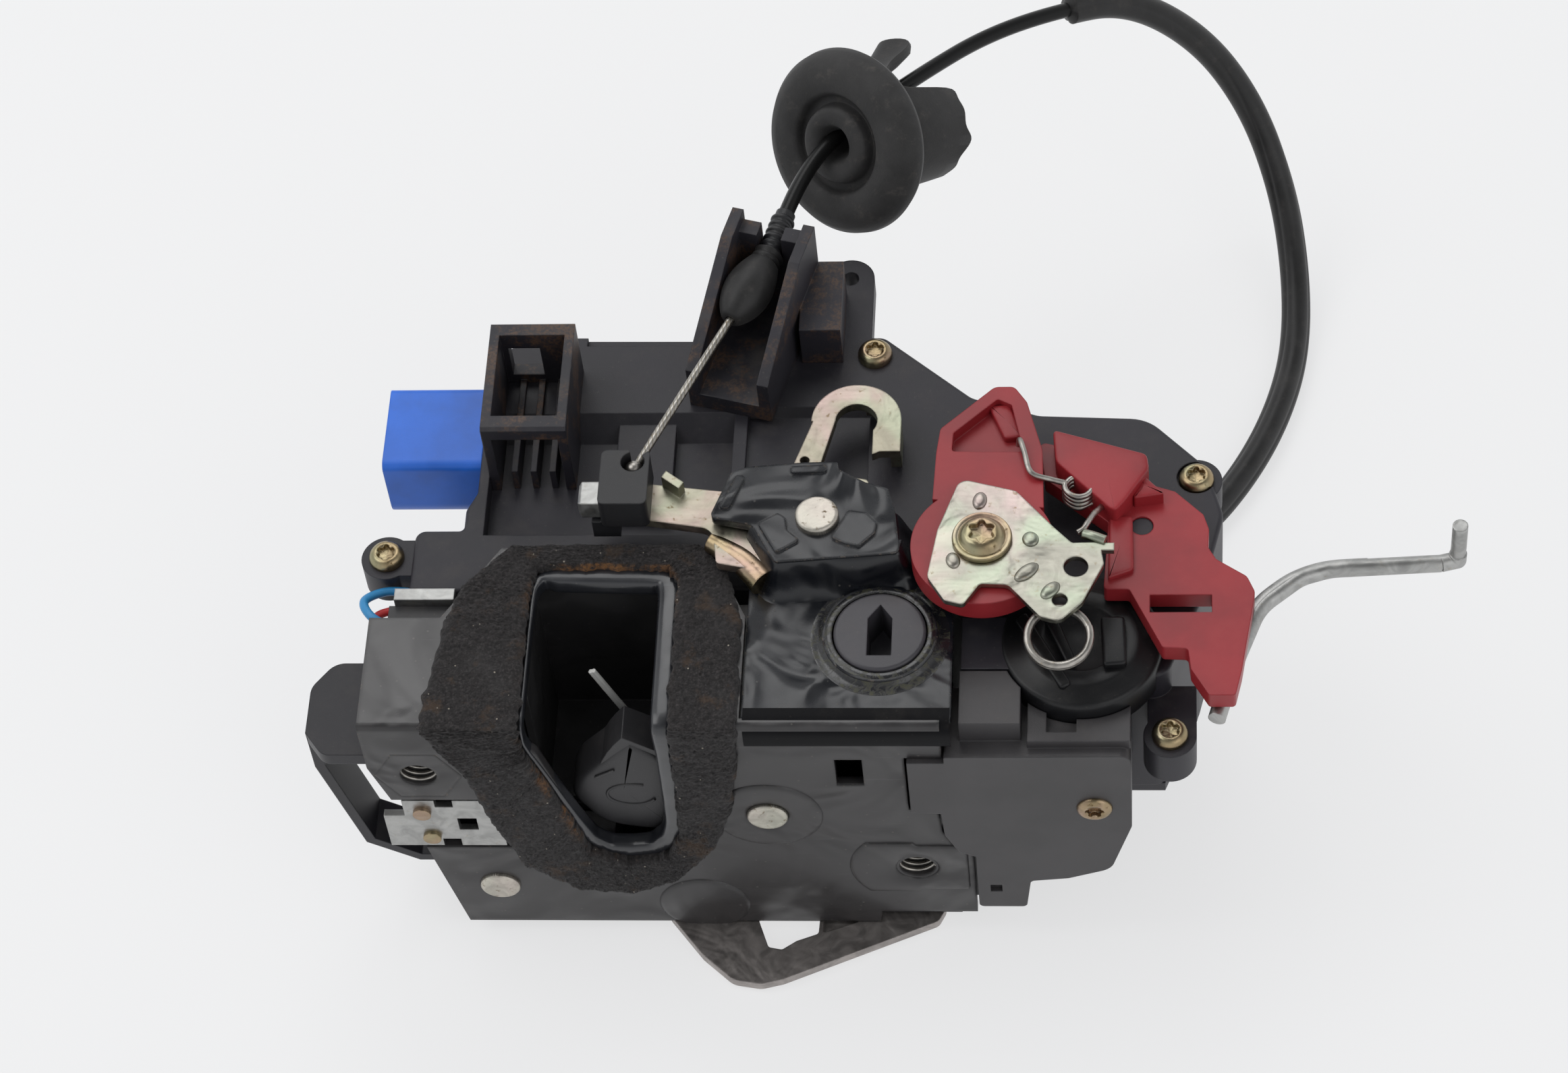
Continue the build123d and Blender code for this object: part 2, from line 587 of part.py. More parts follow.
def main_housing():
    """Upper shell: stepped top, side walls, ears and the pivots' bosses."""
    body = sheet_xy(housing_outline, (housing_base, housing_top), housing_radii)
    body = fillet(body.faces().sort_by(Axis.Z)[-1].edges(), 0.8)
    body -= sheet_xy(cavity_outline, (housing_base - 1, housing_top - housing_wall))
    body += block((deck_left - 1.6, deck_mid + housing_wall), (deck_near - housing_wall, plateau_front),
                  (deck - housing_wall, housing_top - housing_wall))
    body -= deck_space((deck_left, deck_mid), (deck_near, plateau_front), deck_drop)
    body -= deck_space((deck_mid + housing_wall, deck_right), (56.0, plateau_front + 1.2), ledge_drop)
    body += block((-56.7, -45.8), (52.0, plateau_front - 1.0), (deck - 0.5, deck + 2.7))
    body -= block((-64.0, -41.0), (90.4, 100.0), (housing_top - ledge_drop, housing_top + 1))
    body += block((9.6, 20.4), (14.4, 25.6), (housing_top - 1, 44.6))
    dome = rod_along_z(dome_at, (housing_top - housing_wall, dome_top), dome_r)
    body += fillet(dome.edges().group_by(Axis.Z)[-1], 1.0)
    for at, root in ((ear_left, (-93.0, 40.0)), (ear_right, (50.0, 56.0))):
        body += rod_along_z(at, (housing_top - ear_t, housing_top - 1.0), ear_r)
        body += block(sorted((at[0], root[0])), (at[1] - 4, at[1] + 4), (housing_top - ear_t, housing_top - 1.0))
    body += rod_along_z(ear_front, (ear_low - ear_t, ear_low), ear_r)
    body += block((43.0, ear_front[0] + ear_r), (ear_front[1], 17.0), (ear_low - ear_t, ear_low))
    body += rod_along_z(ear_far, (housing_top - 5, housing_top), 4.6)
    body += block((ear_far[0] - 4.6, ear_far[0] + 4.6), (90.0, ear_far[1]), (housing_top - 5, housing_top))
    body -= rod_along_z(ear_far, (0, 60), eye_r)
    body += rod_along_z(lever_pivot, (housing_top - housing_wall, hook_z - run_gap), 5.0)
    body -= rod_along_z(lever_pivot, (33.0, 60.0), lever_rivet_r)
    body += rod_along_z(lock_pivot, (housing_top - housing_wall - 4, lock_lever_z - run_gap), 5.5)
    body -= rod_along_z(lock_pivot, (36.0, 60.0), lock_screw_r)
    body += rod_along_z(plate_pivot, (housing_top - 1, lock_plate_z - run_gap), 5.0)
    body += rod_along_z(plate_pivot, (housing_top - 1, lock_plate_z + lock_plate_t - 0.4), plate_pin_r)
    body -= block((mouth_left - liner_t - fit_gap, mouth_right + liner_t + fit_gap),
                  (0, mouth_back + liner_t + fit_gap), (0, 60))
    return body


def housing_screw_seats():
    """Place and seat height of every housing screw that shows on top."""
    return [(ear_left, housing_top - 1.0), (ear_right, housing_top - 1.0), (ear_front, ear_low),
            ((-8.6, 87.6), housing_top)]


housing = main_housing()
for at, seat in housing_screw_seats():
    housing -= rod_along_z(at, (seat - 7.0, seat), screw_shank_r)
    housing -= rod_along_z(at, (seat, seat + 3.0), screw_head_r + fit_gap)
parts["main_housing"] = housing
screws = [torx_screw(at, seat, 6.5) for at, seat in housing_screw_seats()]
parts["housing_screws"] = Compound(children=screws)

cover_outline = [
    (-92.6, housing_front + 0.4), (-92.6, 46.9), (-83.6, 46.9), (-81.8, 56.0), (-81.8, 85.8), (-66.0, 92.4),
    (-7.2, 91.8), (9.8, 77.2), (22.6, 72.9), (42.8, 72.0), (53.6, 60.8), (56.6, 50.0), (52.0, 30.2),
    (46.0, 14.8), (10.0, 14.8), (10.0, housing_front + 0.4)]


def housing_back_cover():
    """Lower cover with the deep lobe that holds the motor and stands on the ground."""
    z = (housing_base - cover_t, housing_base)
    body = sheet_xy(cover_outline, z)
    lobe = block((lobe_left, lobe_right), (lobe_front, lobe_back), (table_level, housing_base))
    lobe = fillet(lobe.edges().filter_by(Axis.Z), 3.0)
    lobe = chamfer(lobe.faces().sort_by(Axis.Z)[0].edges(), 1.0)
    body += lobe
    hollow = block((lobe_left + 2.5, lobe_right - 2.5), (lobe_front + 2.5, lobe_back - 2.5),
                   (table_level + 2.5, housing_base + 1))
    body -= hollow
    body += block((-22.0, -6.0), (back_end, lobe_front + 1), (-14.0, -4.0))
    body -= block((mouth_left - liner_t - fit_gap, mouth_right + liner_t + fit_gap),
                  (0, mouth_back + liner_t + fit_gap), (0, 60))
    return body


parts["housing_back_cover"] = housing_back_cover()

# ================================================================ side cover by the face
cover_front = -1.0
cover_back = 14.0
side_outline = [
    (6.6, 39.0), (6.6, 37.1), (-0.1, 37.1), (-0.1, 20.5), (5.3, 20.1), (5.7, 12.7), (8.1, 6.8),
    (11.1, 5.2), (11.1, right_base), (20.0, right_base), (21.0, -3.4), (28.0, -2.4), (36.0, 1.0), (40.0, 16.0), (40.0, 39.4)]
side_screw_at = (33.3, 22.2)


def side_cover():
    """Cover over the switches at the right of the face plate."""
    body = sheet_xz(side_outline, (cover_front, cover_back), [0.5, 0, 0, 0, 0, 0, 0, 0, 1, 1, 1, 2, 4, 4, 2])
    inner = [(x + (2.2 if x < 10 else -2.2), z - 2.2 if z > 30 else z + 2.2) for x, z in
             [(11.1, 38.6), (11.1, 20.5), (11.1, 5.2), (22.0, 2.0), (34.0, 4.0), (40.0, 16.0), (40.0, 39.4)]]
    body -= sheet_xz(inner, (cover_front + 2.2, cover_back + 1))
    body += block((9.4, 20.4), (2.6, cover_back), (38.0, 44.6)) + block((21.6, 40.0), (1.0, 11.6), (39.0, 41.4))
    body -= block((25.0, 30.4), (3.0, 8.6), (39.9, 42)) + block((13.4, 15.6), (-2, 0.2), (-7.2, -4.8))
    body -= rod_along_z(dome_at, (housing_top - housing_wall - fit_gap, 60), dome_r + fit_gap)
    body -= rod_along_y(side_screw_at, (-2, 6), screw_shank_r)
    return body


parts["side_cover"] = side_cover()
parts["side_cover_screw"] = torx_screw(side_screw_at, cover_front, 6.0, axis="y")


# ================================================================ guide frame and connector
def guide_frame():
    """Tall frame for the cable loom: a window on top, an open front, ribs on its floor."""
    x, y, top = (deck_left, -64.2), (59.6, 84.4), housing_top + 14.6
    body = block(x, y, (deck, top))
    inner = (x[0] + 1.8, x[1] - 1.8)
    body -= block(inner, (y[0] + 3.2, y[1] - 2.6), (deck - 1, top + 1))
    body -= block(inner, (y[0] - 1, y[0] + 4), (deck - 1, top - 3.2))
    body -= block((x[0] + 3.0, x[0] + 9.0), (y[1] - 4, y[1] + 1), (housing_top + 2.5, top - 4.0))
    for k in range(3):
        at = inner[0] + 2.4 + 3.6 * k
        body += block((at, at + 1.2), (y[0] + 0.4, y[1] - 1), (deck, housing_top + 1.0))
    plateau = deck_space((x[0] - 1, x[1] + 1), (deck_near, plateau_front), deck_drop)
    solid = block((x[0] - 1, x[1] + 1), (deck_near, y[1] + 1), (deck - 1, housing_top)) - plateau
    body = chamfer(body.edges().filter_by(Axis.X).group_by(Axis.Z)[-1].sort_by(Axis.Y)[0], 0.6)
    return body - solid


parts["guide_frame"] = guide_frame()
conn_x = (-101.2, -82.2)
conn_y = (62.6, 81.6)
conn_z = (24.4, 41.6)


def connector_shroud():
    body = block(conn_x, conn_y, conn_z)
    low = [e for e in body.edges().filter_by(Axis.X) if e.center().Z < conn_z[0] + 1]
    body = fillet(low, 5.0)
    body = fillet([e for e in body.edges().filter_by(Axis.X) if e.center().Z > conn_z[1] - 1], 1.6)
    socket = block((conn_x[0] - 1, conn_x[1] - 3.0), (conn_y[0] + 1.8, conn_y[1] - 1.8),
                   (conn_z[0] + 1.8, conn_z[1] - 1.8))
    socket = fillet([e for e in socket.edges().filter_by(Axis.X) if e.center().Z < conn_z[0] + 4], 3.4)
    return body - socket


parts["connector_shroud"] = connector_shroud()
pin_x = (conn_x[1] - 3.0 - 7.0, conn_x[1] - 3.0)
pins = []
for row in range(2):
    for col in range(4):
        py = conn_y[0] + 4.6 + 3.3 * col
        pz = conn_z[0] + 6.4 + 4.0 * row
        pins.append(block(pin_x, (py - 0.5, py + 0.5), (pz - 0.4, pz + 0.4)))
parts["connector_pins"] = Compound(children=pins)


# ================================================================ cable bracket, boot and cable
bracket_angle = 75.0
channel_mid = (-30.6, 92.0)
channel_half = 5.9
channel_wall = 2.2


def channel_point(along, across):
    """Point in X and Y, along and to the left of the channel's middle line."""
    a = radians(bracket_angle)
    return (channel_mid[0] + along * cos(a) - across * sin(a), channel_mid[1] + along * sin(a) + across * cos(a))


def channel_slab(along, across, z):
    corners = [(along[0], across[0]), (along[1], across[0]), (along[1], across[1]), (along[0], across[1])]
    return sheet_xy([channel_point(*c) for c in corners], z)


def cable_bracket():
    """Channel on the housing's far edge that holds the cable's boot and ferrule."""
    ends = (-18.5, 13.0)
    outer = channel_half + channel_wall
    walls = channel_slab(ends, (channel_half, outer), (housing_top, 64.0)) \
        + channel_slab(ends, (-outer, -channel_half), (housing_top, 63.0))
    slope = Plane(origin=(*channel_point(ends[0], 0), 53.0), x_dir=(cos(radians(bracket_angle)),
                  sin(radians(bracket_angle)), 0.45), z_dir=Vector(-0.45 * cos(radians(bracket_angle)),
                  -0.45 * sin(radians(bracket_angle)), 1))
    walls -= slope * Pos(0, 0, 25) * Box(90, 60, 50)
    floor = channel_slab(ends, (-outer, outer), (housing_top, housing_top + 4))
    bridge = channel_slab((9.4, 12.6), (-outer, outer), (housing_top, cable_z + 4.4))
    side = block((-22.4, -14.6), (86.0, 102.6), (housing_top, housing_top + 10.0))
    side -= channel_slab((-30, 30), (-outer, outer), (0, 90))
    body = walls + floor + bridge + side
    body -= rod_between((*channel_point(6.0, 0), cable_z), (*channel_point(16.0, 0), cable_z), ferrule_r)
    body -= channel_slab((9.0, 13.0), (-ferrule_r, ferrule_r), (cable_z, 80))
    return body


parts["cable_bracket"] = cable_bracket()

boot_start = (*boot_tip, cable_z)
neck = channel_point(8.6, 0)
boot_len = hypot(neck[0] - boot_tip[0], neck[1] - boot_tip[1])
boot_frame = Plane(origin=boot_start, z_dir=(neck[0] - boot_tip[0], neck[1] - boot_tip[1], 0))
boot_profile = [(0, 0), (1.9, 0), (2.9, boot_len * 0.18), (boot_r, boot_len * 0.5), (4.0, boot_len * 0.74),
                (2.7, boot_len * 0.92), (2.7, boot_len), (0, boot_len)]
boot_line = Polyline((0, boot_len), (0, 0), (1.9, 0)) + Spline(*[Vector(r, h) for r, h in boot_profile[1:6]]) \
    + Polyline(boot_profile[5], boot_profile[6], (0, boot_len))
boot_body = revolve(Plane.XZ * make_face(boot_line), Axis.Z)
boot = boot_frame * boot_body
boot -= rod_between((*polar(boot_tip, -2, wire_angle), cable_z), (*polar(boot_tip, 15, wire_angle), cable_z),
                    wire_bore_r)
ferrule_start = (*channel_point(8.6, 0), cable_z)
ferrule_end = (*channel_point(19.0, 0), cable_z)
parts["cable_ferrule"] = rod_between(ferrule_start, ferrule_end, ferrule_r)

boot -= parts["cable_ferrule"]
parts["cable_boot"] = boot

# The cable's route: ferrule, free loop in the air, down to the ground and back behind the housing.
ground = table_level + sleeve_r + 0.1
sheath_route = [ferrule_end, (*channel_point(30.5, 0), cable_z), (-14.2, 134.0, 56.2), (-0.6, 148.2, 52.6),
                (11.0, 159.6, 47.4), (24.0, 168.6, 41.0)]
sleeve_route = [(24.0, 168.6, 41.0), (37.65, 178.05, 34.28), (52.0, 181.0, 20.0), (62.0, 176.4, 6.0),
                (68.4, 166.4, -7.0), (71.6, 152.6, -15.6), (71.8, 137.6, ground), (68.6, 121.6, ground),
                (62.6, 106.0, ground), (52.6, 91.4, ground), (37.6, 80.6, ground), (18.6, 76.0, ground)]
tail_route = [(18.6, 76.0, ground), (2.19, 72.03, ground), (-17.4, 76.4, ground), (-35.0, 80.0, ground)]


def cord_node(name, route, radius):
    tube, radii, path = path_tube(route, radius, [0.45] * (len(route) - 2))
    share = tube.volume / (pi * radius ** 2 * path.length)
    print(name, "length", round(path.length, 1), "volume share", round(share, 4),
          "radii", [round(r, 1) for r in radii])
    parts[name] = tube
    return path


sheath_path = cord_node("cable_sheath", sheath_route, sheath_r)
sleeve_path = cord_node("cable_sleeve", sleeve_route, sleeve_r)
tail_path = cord_node("cable_tail", tail_route, sheath_r)
tail_end = Vector(*tail_route[-1])
tail_dir = (tail_end - Vector(*tail_route[-2])).normalized()
fitting = rod_between(tuple(tail_end), tuple(tail_end + tail_dir * 12), ferrule_r)
fitting += rod_between(tuple(tail_end + tail_dir * 12), tuple(tail_end + tail_dir * 22), wire_r)
fitting += Pos(*(tail_end + tail_dir * 23)) * Sphere(2.6)
parts["cable_end_fitting"] = fitting

grommet_at = Vector(-15.6, 128.4, 57.0)
grommet_dir = Vector(0.58, 0.66, -0.48).normalized()


def grommet():
    """Rubber door grommet: flange, groove and a tube with a split end."""
    frame = Plane(origin=grommet_at, z_dir=grommet_dir)
    profile = [(0, -3.0), (7.4, -3.0), (7.4, -0.6), (9.6, -0.6), (9.6, -2.2), (15.6, -2.4), (grommet_r, 0.6),
               (grommet_r, 3.4), (11.6, 3.8), (10.4, 7.2), (12.2, 9.8), (11.4, 23.0), (9.6, 23.0), (9.4, 6.4),
               (0, 6.4)]
    body = revolve(Plane.XZ * make_face(Polyline(*profile, close=True)), Axis.Z)
    return frame * body


parts["grommet"] = grommet() - parts["cable_sheath"]


# ================================================================ lock levers
def lock_lever():
    """Red lever with its hub on the pivot screw and a rimmed arm."""
    z = (lock_lever_z, lock_lever_z + lock_lever_t)
    hub = rod_along_z(lock_pivot, z, lock_hub_r)
    arm = [(4.2, 44.0), (4.6, 54.6), (5.2, 60.0), (15.0, 69.6), (18.6, 69.6), (21.0, 66.0), (24.0, 55.0),
           (24.4, 42.0)]
    body = hub + sheet_xy(arm, z, [0, 1, 1.5, 2, 1.5, 2, 1, 0])
    well = [(7.4, 54.8), (7.6, 59.0), (15.6, 66.8), (18.2, 65.4), (20.6, 54.6)]
    body -= sheet_xy(well, (z[1] - 2.6, z[1] + 1), 0.6)
    return body - rod_along_z(lock_pivot, (0, 90), lock_screw_r + pivot_clear)


parts["lock_lever"] = lock_lever()
bracket_outline = [
    (9.2, 47.4), (19.4, 44.6), (26.4, 36.4), (29.6, 33.0), (34.6, 33.2), (35.4, 28.4), (31.6, 20.0),
    (27.6, 16.0), (24.2, 17.0), (18.3, 24.0), (13.3, 24.2), (10.4, 19.6), (7.0, 20.6), (3.8, 25.8), (5.4, 36.0)]
bracket_holes = (((30.4, 27.8), 2.2), ((27.6, 20.6), 1.4))


def lock_bracket():
    """Zinc-plated stamping on top of the hub, with a spring tab."""
    z = (bracket_z, bracket_z + bracket_t)
    body = sheet_xy(bracket_outline, z, [2, 1.5, 2, 1, 0.8, 1, 2.5, 2, 2, 2, 1, 1, 1, 2, 3])
    body += block((31.0, 37.2), (31.4, 33.0), z)
    for at, radius in bracket_holes:
        body -= rod_along_z(at, (0, 90), radius)
    return body - rod_along_z(lock_pivot, (0, 90), lock_screw_r + pivot_clear)


parts["lock_bracket"] = lock_bracket()
screw_seat = bracket_z + bracket_t + run_gap
lock_screw = rod_along_z(lock_pivot, (screw_seat, screw_seat + 1.0), 5.4)
screw_dome = rod_along_z(lock_pivot, (screw_seat + 1.0, screw_seat + 3.4), 3.9)
lock_screw += fillet(screw_dome.edges().group_by(Axis.Z)[-1], 1.2)
lock_screw += rod_along_z(lock_pivot, (37.0, screw_seat), lock_screw_r)
lock_screw -= Pos(*lock_pivot, screw_seat + 1.8) * extrude(RegularPolygon(1.9, 6), 4)
parts["lock_pivot_screw"] = lock_screw

lock_plate_outline = [
    (23.1, 61.0), (42.5, 56.0), (43.6, 51.1), (48.1, 49.5), (53.2, 44.3), (54.2, 41.0), (54.0, 37.0),
    (55.4, 34.4), (60.9, 30.6), (62.3, 27.2), (61.6, 22.2), (59.8, 10.5), (58.6, 5.0), (54.0, 5.0),
    (50.8, 10.6), (50.3, 15.0), (45.8, 15.2), (39.8, 27.9), (35.2, 27.9), (36.0, 42.7), (24.3, 52.6)]


def lock_plate():
    """Red plate that carries the link rod."""
    z = (lock_plate_z, lock_plate_z + lock_plate_t)
    body = sheet_xy(lock_plate_outline, z, [1, 1, 1, 1, 1, 2, 1, 1, 2, 2, 2, 2, 0.8, 0.8, 0.8, 0.8, 0.8, 0.8, 0.8, 1, 1])
    body -= block((43.5, 54.6), (22.8, 26.6), (0, 90))
    body -= rod_along_z(rod_pin_at, (0, rod_z + rod_r + 0.4 + rod_pin_depth), rod_pin_r + pivot_clear)
    return body - rod_along_z(plate_pivot, (0, 90), plate_pin_r + pivot_clear)


# The link rod's middle line; the part under the plate ends in a stub.
rod_route = [(55.3, 4.0, rod_z), (58.6, 16.0, rod_z), (63.0, 28.0, rod_z), (70.6, 34.6, rod_z),
             (76.0, 36.4, rod_z), (96.0, 37.6, rod_z)]
rod_pin_at = (57.2, 11.2)
rod_pin_depth = 2.0
parts["lock_plate"] = lock_plate()


def link_rod():
    tube, radii, path = path_tube(rod_route, rod_r, [0.3] * (len(rod_route) - 2))
    end = Vector(*rod_route[-1])
    elbow = rod_between(tuple(end), (*rod_tip_at, rod_z), rod_r) + Pos(*rod_tip_at, rod_z) * Sphere(rod_r)
    tip = rod_along_z(rod_tip_at, (rod_z, rod_z + rod_shoulder + rod_tip_len), rod_tip_r)
    tip += rod_along_z(rod_tip_at, (rod_z, rod_z + rod_shoulder), rod_r)
    pin = rod_along_z(rod_pin_at, (rod_z, rod_z + rod_r + 0.2 + rod_pin_depth), rod_pin_r)
    return tube + elbow + tip + pin


parts["link_rod"] = link_rod()

# ================================================================ springs on the lock levers
spring_wire = 0.55
spring_z = lock_lever_z + lock_lever_t + 1.4


def round_wire(points, radius, share=0.3):
    return path_tube(points, radius, [share] * (len(points) - 2))[0]


def overcentre_spring():
    """Torsion spring between the red lever's arm and the bracket's tab."""
    coil_at = (28.4, 45.6)
    turns = [Pos(*coil_at, spring_z + 1.05 * k) * Torus(2.6, spring_wire) for k in range(3)]
    leg_a = round_wire([(18.4, 57.4, spring_z - 3.8), (18.4, 57.4, spring_z), (20.6, 49.6, spring_z),
                        (coil_at[0] - 2.0, coil_at[1] - 1.8, spring_z)], spring_wire)
    leg_b = round_wire([(coil_at[0] + 2.2, coil_at[1] - 1.6, spring_z + 2.1), (34.6, 39.4, spring_z + 2.1),
                        (34.2, 34.0, spring_z + 0.7)], spring_wire)
    body = turns[0] + leg_a
    for turn in turns[1:]:
        body += turn
    body += leg_b
    return body


parts["overcentre_spring"] = overcentre_spring()


def ring_spring():
    """Split ring of two turns through the bracket's end hole."""
    centre = Vector(27.4, 15.0, bracket_z - 2.4)
    frame = Plane(origin=centre, z_dir=(0.0, -0.2, 0.98))
    return frame * (Pos(0, 0, -0.55) * Torus(5.6, 0.6) + Pos(0, 0, 0.55) * Torus(5.6, 0.6))


parts["ring_spring"] = ring_spring()


# ================================================================ outer release lever
outer_outline = [
    (-49.6, 8.0), (-48.5, 1.4), (-41.6, -7.4), (-35.6, -12.8), (-30.2, -13.7), (-26.0, -12.6), (3.0, 0.2),
    (4.6, 3.6), (1.6, 8.0), (-12.0, 12.0), (-15.4, 22.6), (-22.0, 26.0), (-28.6, 22.6), (-32.0, 14.0)]


def outer_lever():
    z = (outer_top - outer_t, outer_top)
    body = sheet_xy(outer_outline, z, [2, 3, 2, 4, 4, 3, 2, 2, 2, 4, 6, 5, 6, 4])
    body -= sheet_xy([(-31.8, 1.6), (-19.6, 1.6), (-19.8, -2.6), (-23.9, -4.2), (-26.6, -6.1), (-29.2, -5.6)],
                     (z[0] - 1, z[1] + 1), 0.8)
    body -= sheet_xy([(-19.0, 1.6), (-11.6, 1.6), (-12.4, 0.0), (-19.0, -2.4)], (z[1] - 0.9, z[1] + 1), 0.4)
    return body - rod_along_z(outer_pivot, (table_level, 0), 2.0 + pivot_clear)


parts["outer_release_lever"] = outer_lever()
outer_head = rod_along_z(outer_pivot, (table_level + 0.3, outer_top - outer_t - 0.1), 4.2)
parts["outer_lever_rivet"] = outer_head + rod_along_z(outer_pivot, (table_level + 0.3, carrier_foot + 8), 2.0)


# ================================================================ motor drive inside the housing
motor_y, motor_z = 46.0, -7.6
motor_r = 11.0
gear_module = 1.0
gear_teeth = 20
pinion_teeth = 10
gear_r = gear_teeth * gear_module / 2
pinion_r = pinion_teeth * gear_module / 2
shaft_r = 1.0
axle_r = 1.5
mesh_gap = 0.25
motor_back = -26.0
motor_front = 6.0
gear_x = (15.0, 21.0)
post_x = (23.0, 26.0)
gear_z = motor_z + pinion_r + gear_r + mesh_gap


def motor():
    can = rod_along_x((motor_y, motor_z), (motor_back, motor_front), motor_r)
    flats = block((motor_back - 1, motor_front + 1), (motor_y - 15, motor_y + 15),
                  (motor_z - 8.6, motor_z + 8.6))
    body = can & flats
    body += rod_along_x((motor_y, motor_z), (motor_front, motor_front + 1.6), 4.0)
    feet = block((motor_back + 4, motor_front - 4), (motor_y - 6, motor_y + 6), (table_level + 2.5, motor_z - 8.6))
    body += feet
    return body - rod_along_x((motor_y, motor_z), (motor_front - 4, motor_front + 3), shaft_r + pivot_clear)


parts["lock_motor"] = motor()


def spur_gear(teeth, at, x):
    """Gear about an axis along X: trapezoid teeth on the root circle."""
    tip = (teeth / 2 + 0.9) * gear_module
    root = (teeth / 2 - 1.1) * gear_module
    step = 360.0 / teeth
    points = []
    for k in range(teeth):
        for radius, share in ((root, -0.31), (tip, -0.11), (tip, 0.11), (root, 0.31)):
            points.append(polar((0, 0), radius, step * (k + share)))
    blank = extrude(make_face(Polyline(*points, close=True)), x[1] - x[0])
    return Plane(origin=(x[0], *at), x_dir=(0, 1, 0), z_dir=(1, 0, 0)) * blank


pinion = spur_gear(pinion_teeth, (motor_y, motor_z), (gear_x[0] - 1, gear_x[1] + 1))
pinion += rod_along_x((motor_y, motor_z), (motor_front - 3, post_x[1]), shaft_r)
parts["motor_pinion"] = pinion
wheel = spur_gear(gear_teeth, (motor_y, gear_z), gear_x)
wheel += rod_along_x((motor_y, gear_z), (gear_x[0] - 1, gear_x[1] + 1), 4.0)
parts["drive_gear"] = wheel - rod_along_x((motor_y, gear_z), (0, 90), axle_r + pivot_clear)
parts["gear_axle"] = rod_along_x((motor_y, gear_z), (gear_x[0] - 2, post_x[1]), axle_r)
post = block(post_x, (motor_y - 5, motor_y + 5), (table_level + 1.0, gear_z + 4.0))
post -= rod_along_x((motor_y, gear_z), (0, 90), axle_r)
post -= rod_along_x((motor_y, motor_z), (0, 90), shaft_r + pivot_clear)
parts["housing_back_cover"] += post


def microswitch(at):
    x, y, z = at
    body = block((x, x + 12.6), (y, y + 5.8), (z, z + 6.4))
    return body + block((x + 3.0, x + 4.6), (y + 2.0, y + 3.8), (z - 0.9, z))


switch_z = housing_top - housing_wall - 6.4
parts["lock_switch"] = microswitch((24.0, 56.0, switch_z))
parts["door_switch"] = microswitch((-60.0, 60.0, switch_z - deck_drop))


# ================================================================ side guard and wires
def side_guard():
    """Plastic guard left of the face: a rounded shelf and a strap down to the carrier."""
    z = (30.4, 33.4)
    shelf = [(-111.0, 8.0), (-107.4, 3.2), (-99.2, 3.2), (-99.2, 23.4), (-107.0, 23.4), (-111.0, 18.0)]
    body = sheet_xy(shelf, z, [3, 3, 0, 0, 4, 4])
    strap = [(-111.0, 33.4), (-111.0, 22.0), (-105.4, -4.6), (-96.0, -11.0), (-89.2, -11.0), (-89.2, -9.0),
             (-95.4, -9.0), (-103.6, -3.4), (-109.0, 22.4), (-109.0, 33.4)]
    body += sheet_xz(strap, (8.0, 17.0))
    return body


parts["side_guard"] = side_guard()


def switch_wires():
    y = box_depth
    blue = round_wire([(-96.4, y + 3.0, 40.6), (-99.6, y + 4.4, 41.4), (-101.2, y + 8.4, 40.6),
                       (-98.0, y + 11.6, 39.0), (-93.5, y + 11.8, 38.4)], 0.8, 0.45)
    red = round_wire([(-96.4, y + 1.2, 38.0), (-98.6, y + 2.6, 38.6), (-99.2, y + 7.2, 37.6),
                      (-93.7, y + 10.0, 36.0)], 0.8, 0.4)
    return Compound(children=[blue, red])


parts["switch_wires"] = switch_wires()

# ================================================================ springs inside
claw_coil = [Pos(claw_pivot[0], y, claw_pivot[1]) * Rot(90, 0, 0) * Torus(5.2, 0.6) for y in (2.95,)]
parts["claw_spring"] = claw_coil[0]
parts["pawl_spring"] = Pos(pawl_pivot[0], 2.95, pawl_pivot[1]) * Rot(90, 0, 0) * Torus(4.9, 0.6)

# ================================================================ write the parts
os.makedirs("parts", exist_ok=True)
for name, shape in parts.items():
    export_step(shape, f"parts/{name}.step")
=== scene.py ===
"""Vehicle door latch actuator, dressed for rendering: finishes for every steel,
plastic and rubber piece, and the shapes that the plain solids only stand for."""

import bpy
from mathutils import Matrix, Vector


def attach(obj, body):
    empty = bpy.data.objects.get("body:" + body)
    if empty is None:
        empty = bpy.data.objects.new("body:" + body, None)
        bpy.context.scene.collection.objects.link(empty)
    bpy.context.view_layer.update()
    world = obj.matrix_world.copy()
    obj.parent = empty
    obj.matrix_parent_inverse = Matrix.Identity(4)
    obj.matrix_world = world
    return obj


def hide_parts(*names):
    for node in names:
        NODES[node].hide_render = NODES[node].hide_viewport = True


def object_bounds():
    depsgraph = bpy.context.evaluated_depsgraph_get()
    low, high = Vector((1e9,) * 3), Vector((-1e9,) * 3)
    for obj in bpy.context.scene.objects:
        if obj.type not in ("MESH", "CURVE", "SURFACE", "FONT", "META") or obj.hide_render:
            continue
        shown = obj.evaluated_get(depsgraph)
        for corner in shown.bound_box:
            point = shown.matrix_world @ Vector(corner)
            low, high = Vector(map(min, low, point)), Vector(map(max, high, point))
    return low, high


bl_info = {
    "name": "Door latch actuator",
    "version": (1, 0, 0),
    "blender": (4, 5, 0),
    "location": "View3D > Sidebar > Latch",
    "description": "Dresses the packed door latch actuator with its finishes and fine pieces",
    "category": "Object",
}

from math import cos, pi, radians, sin

import bpy
import numpy as np
from bpy.props import (FloatProperty, FloatVectorProperty, IntProperty,
                       PointerProperty)
from mathutils import Matrix

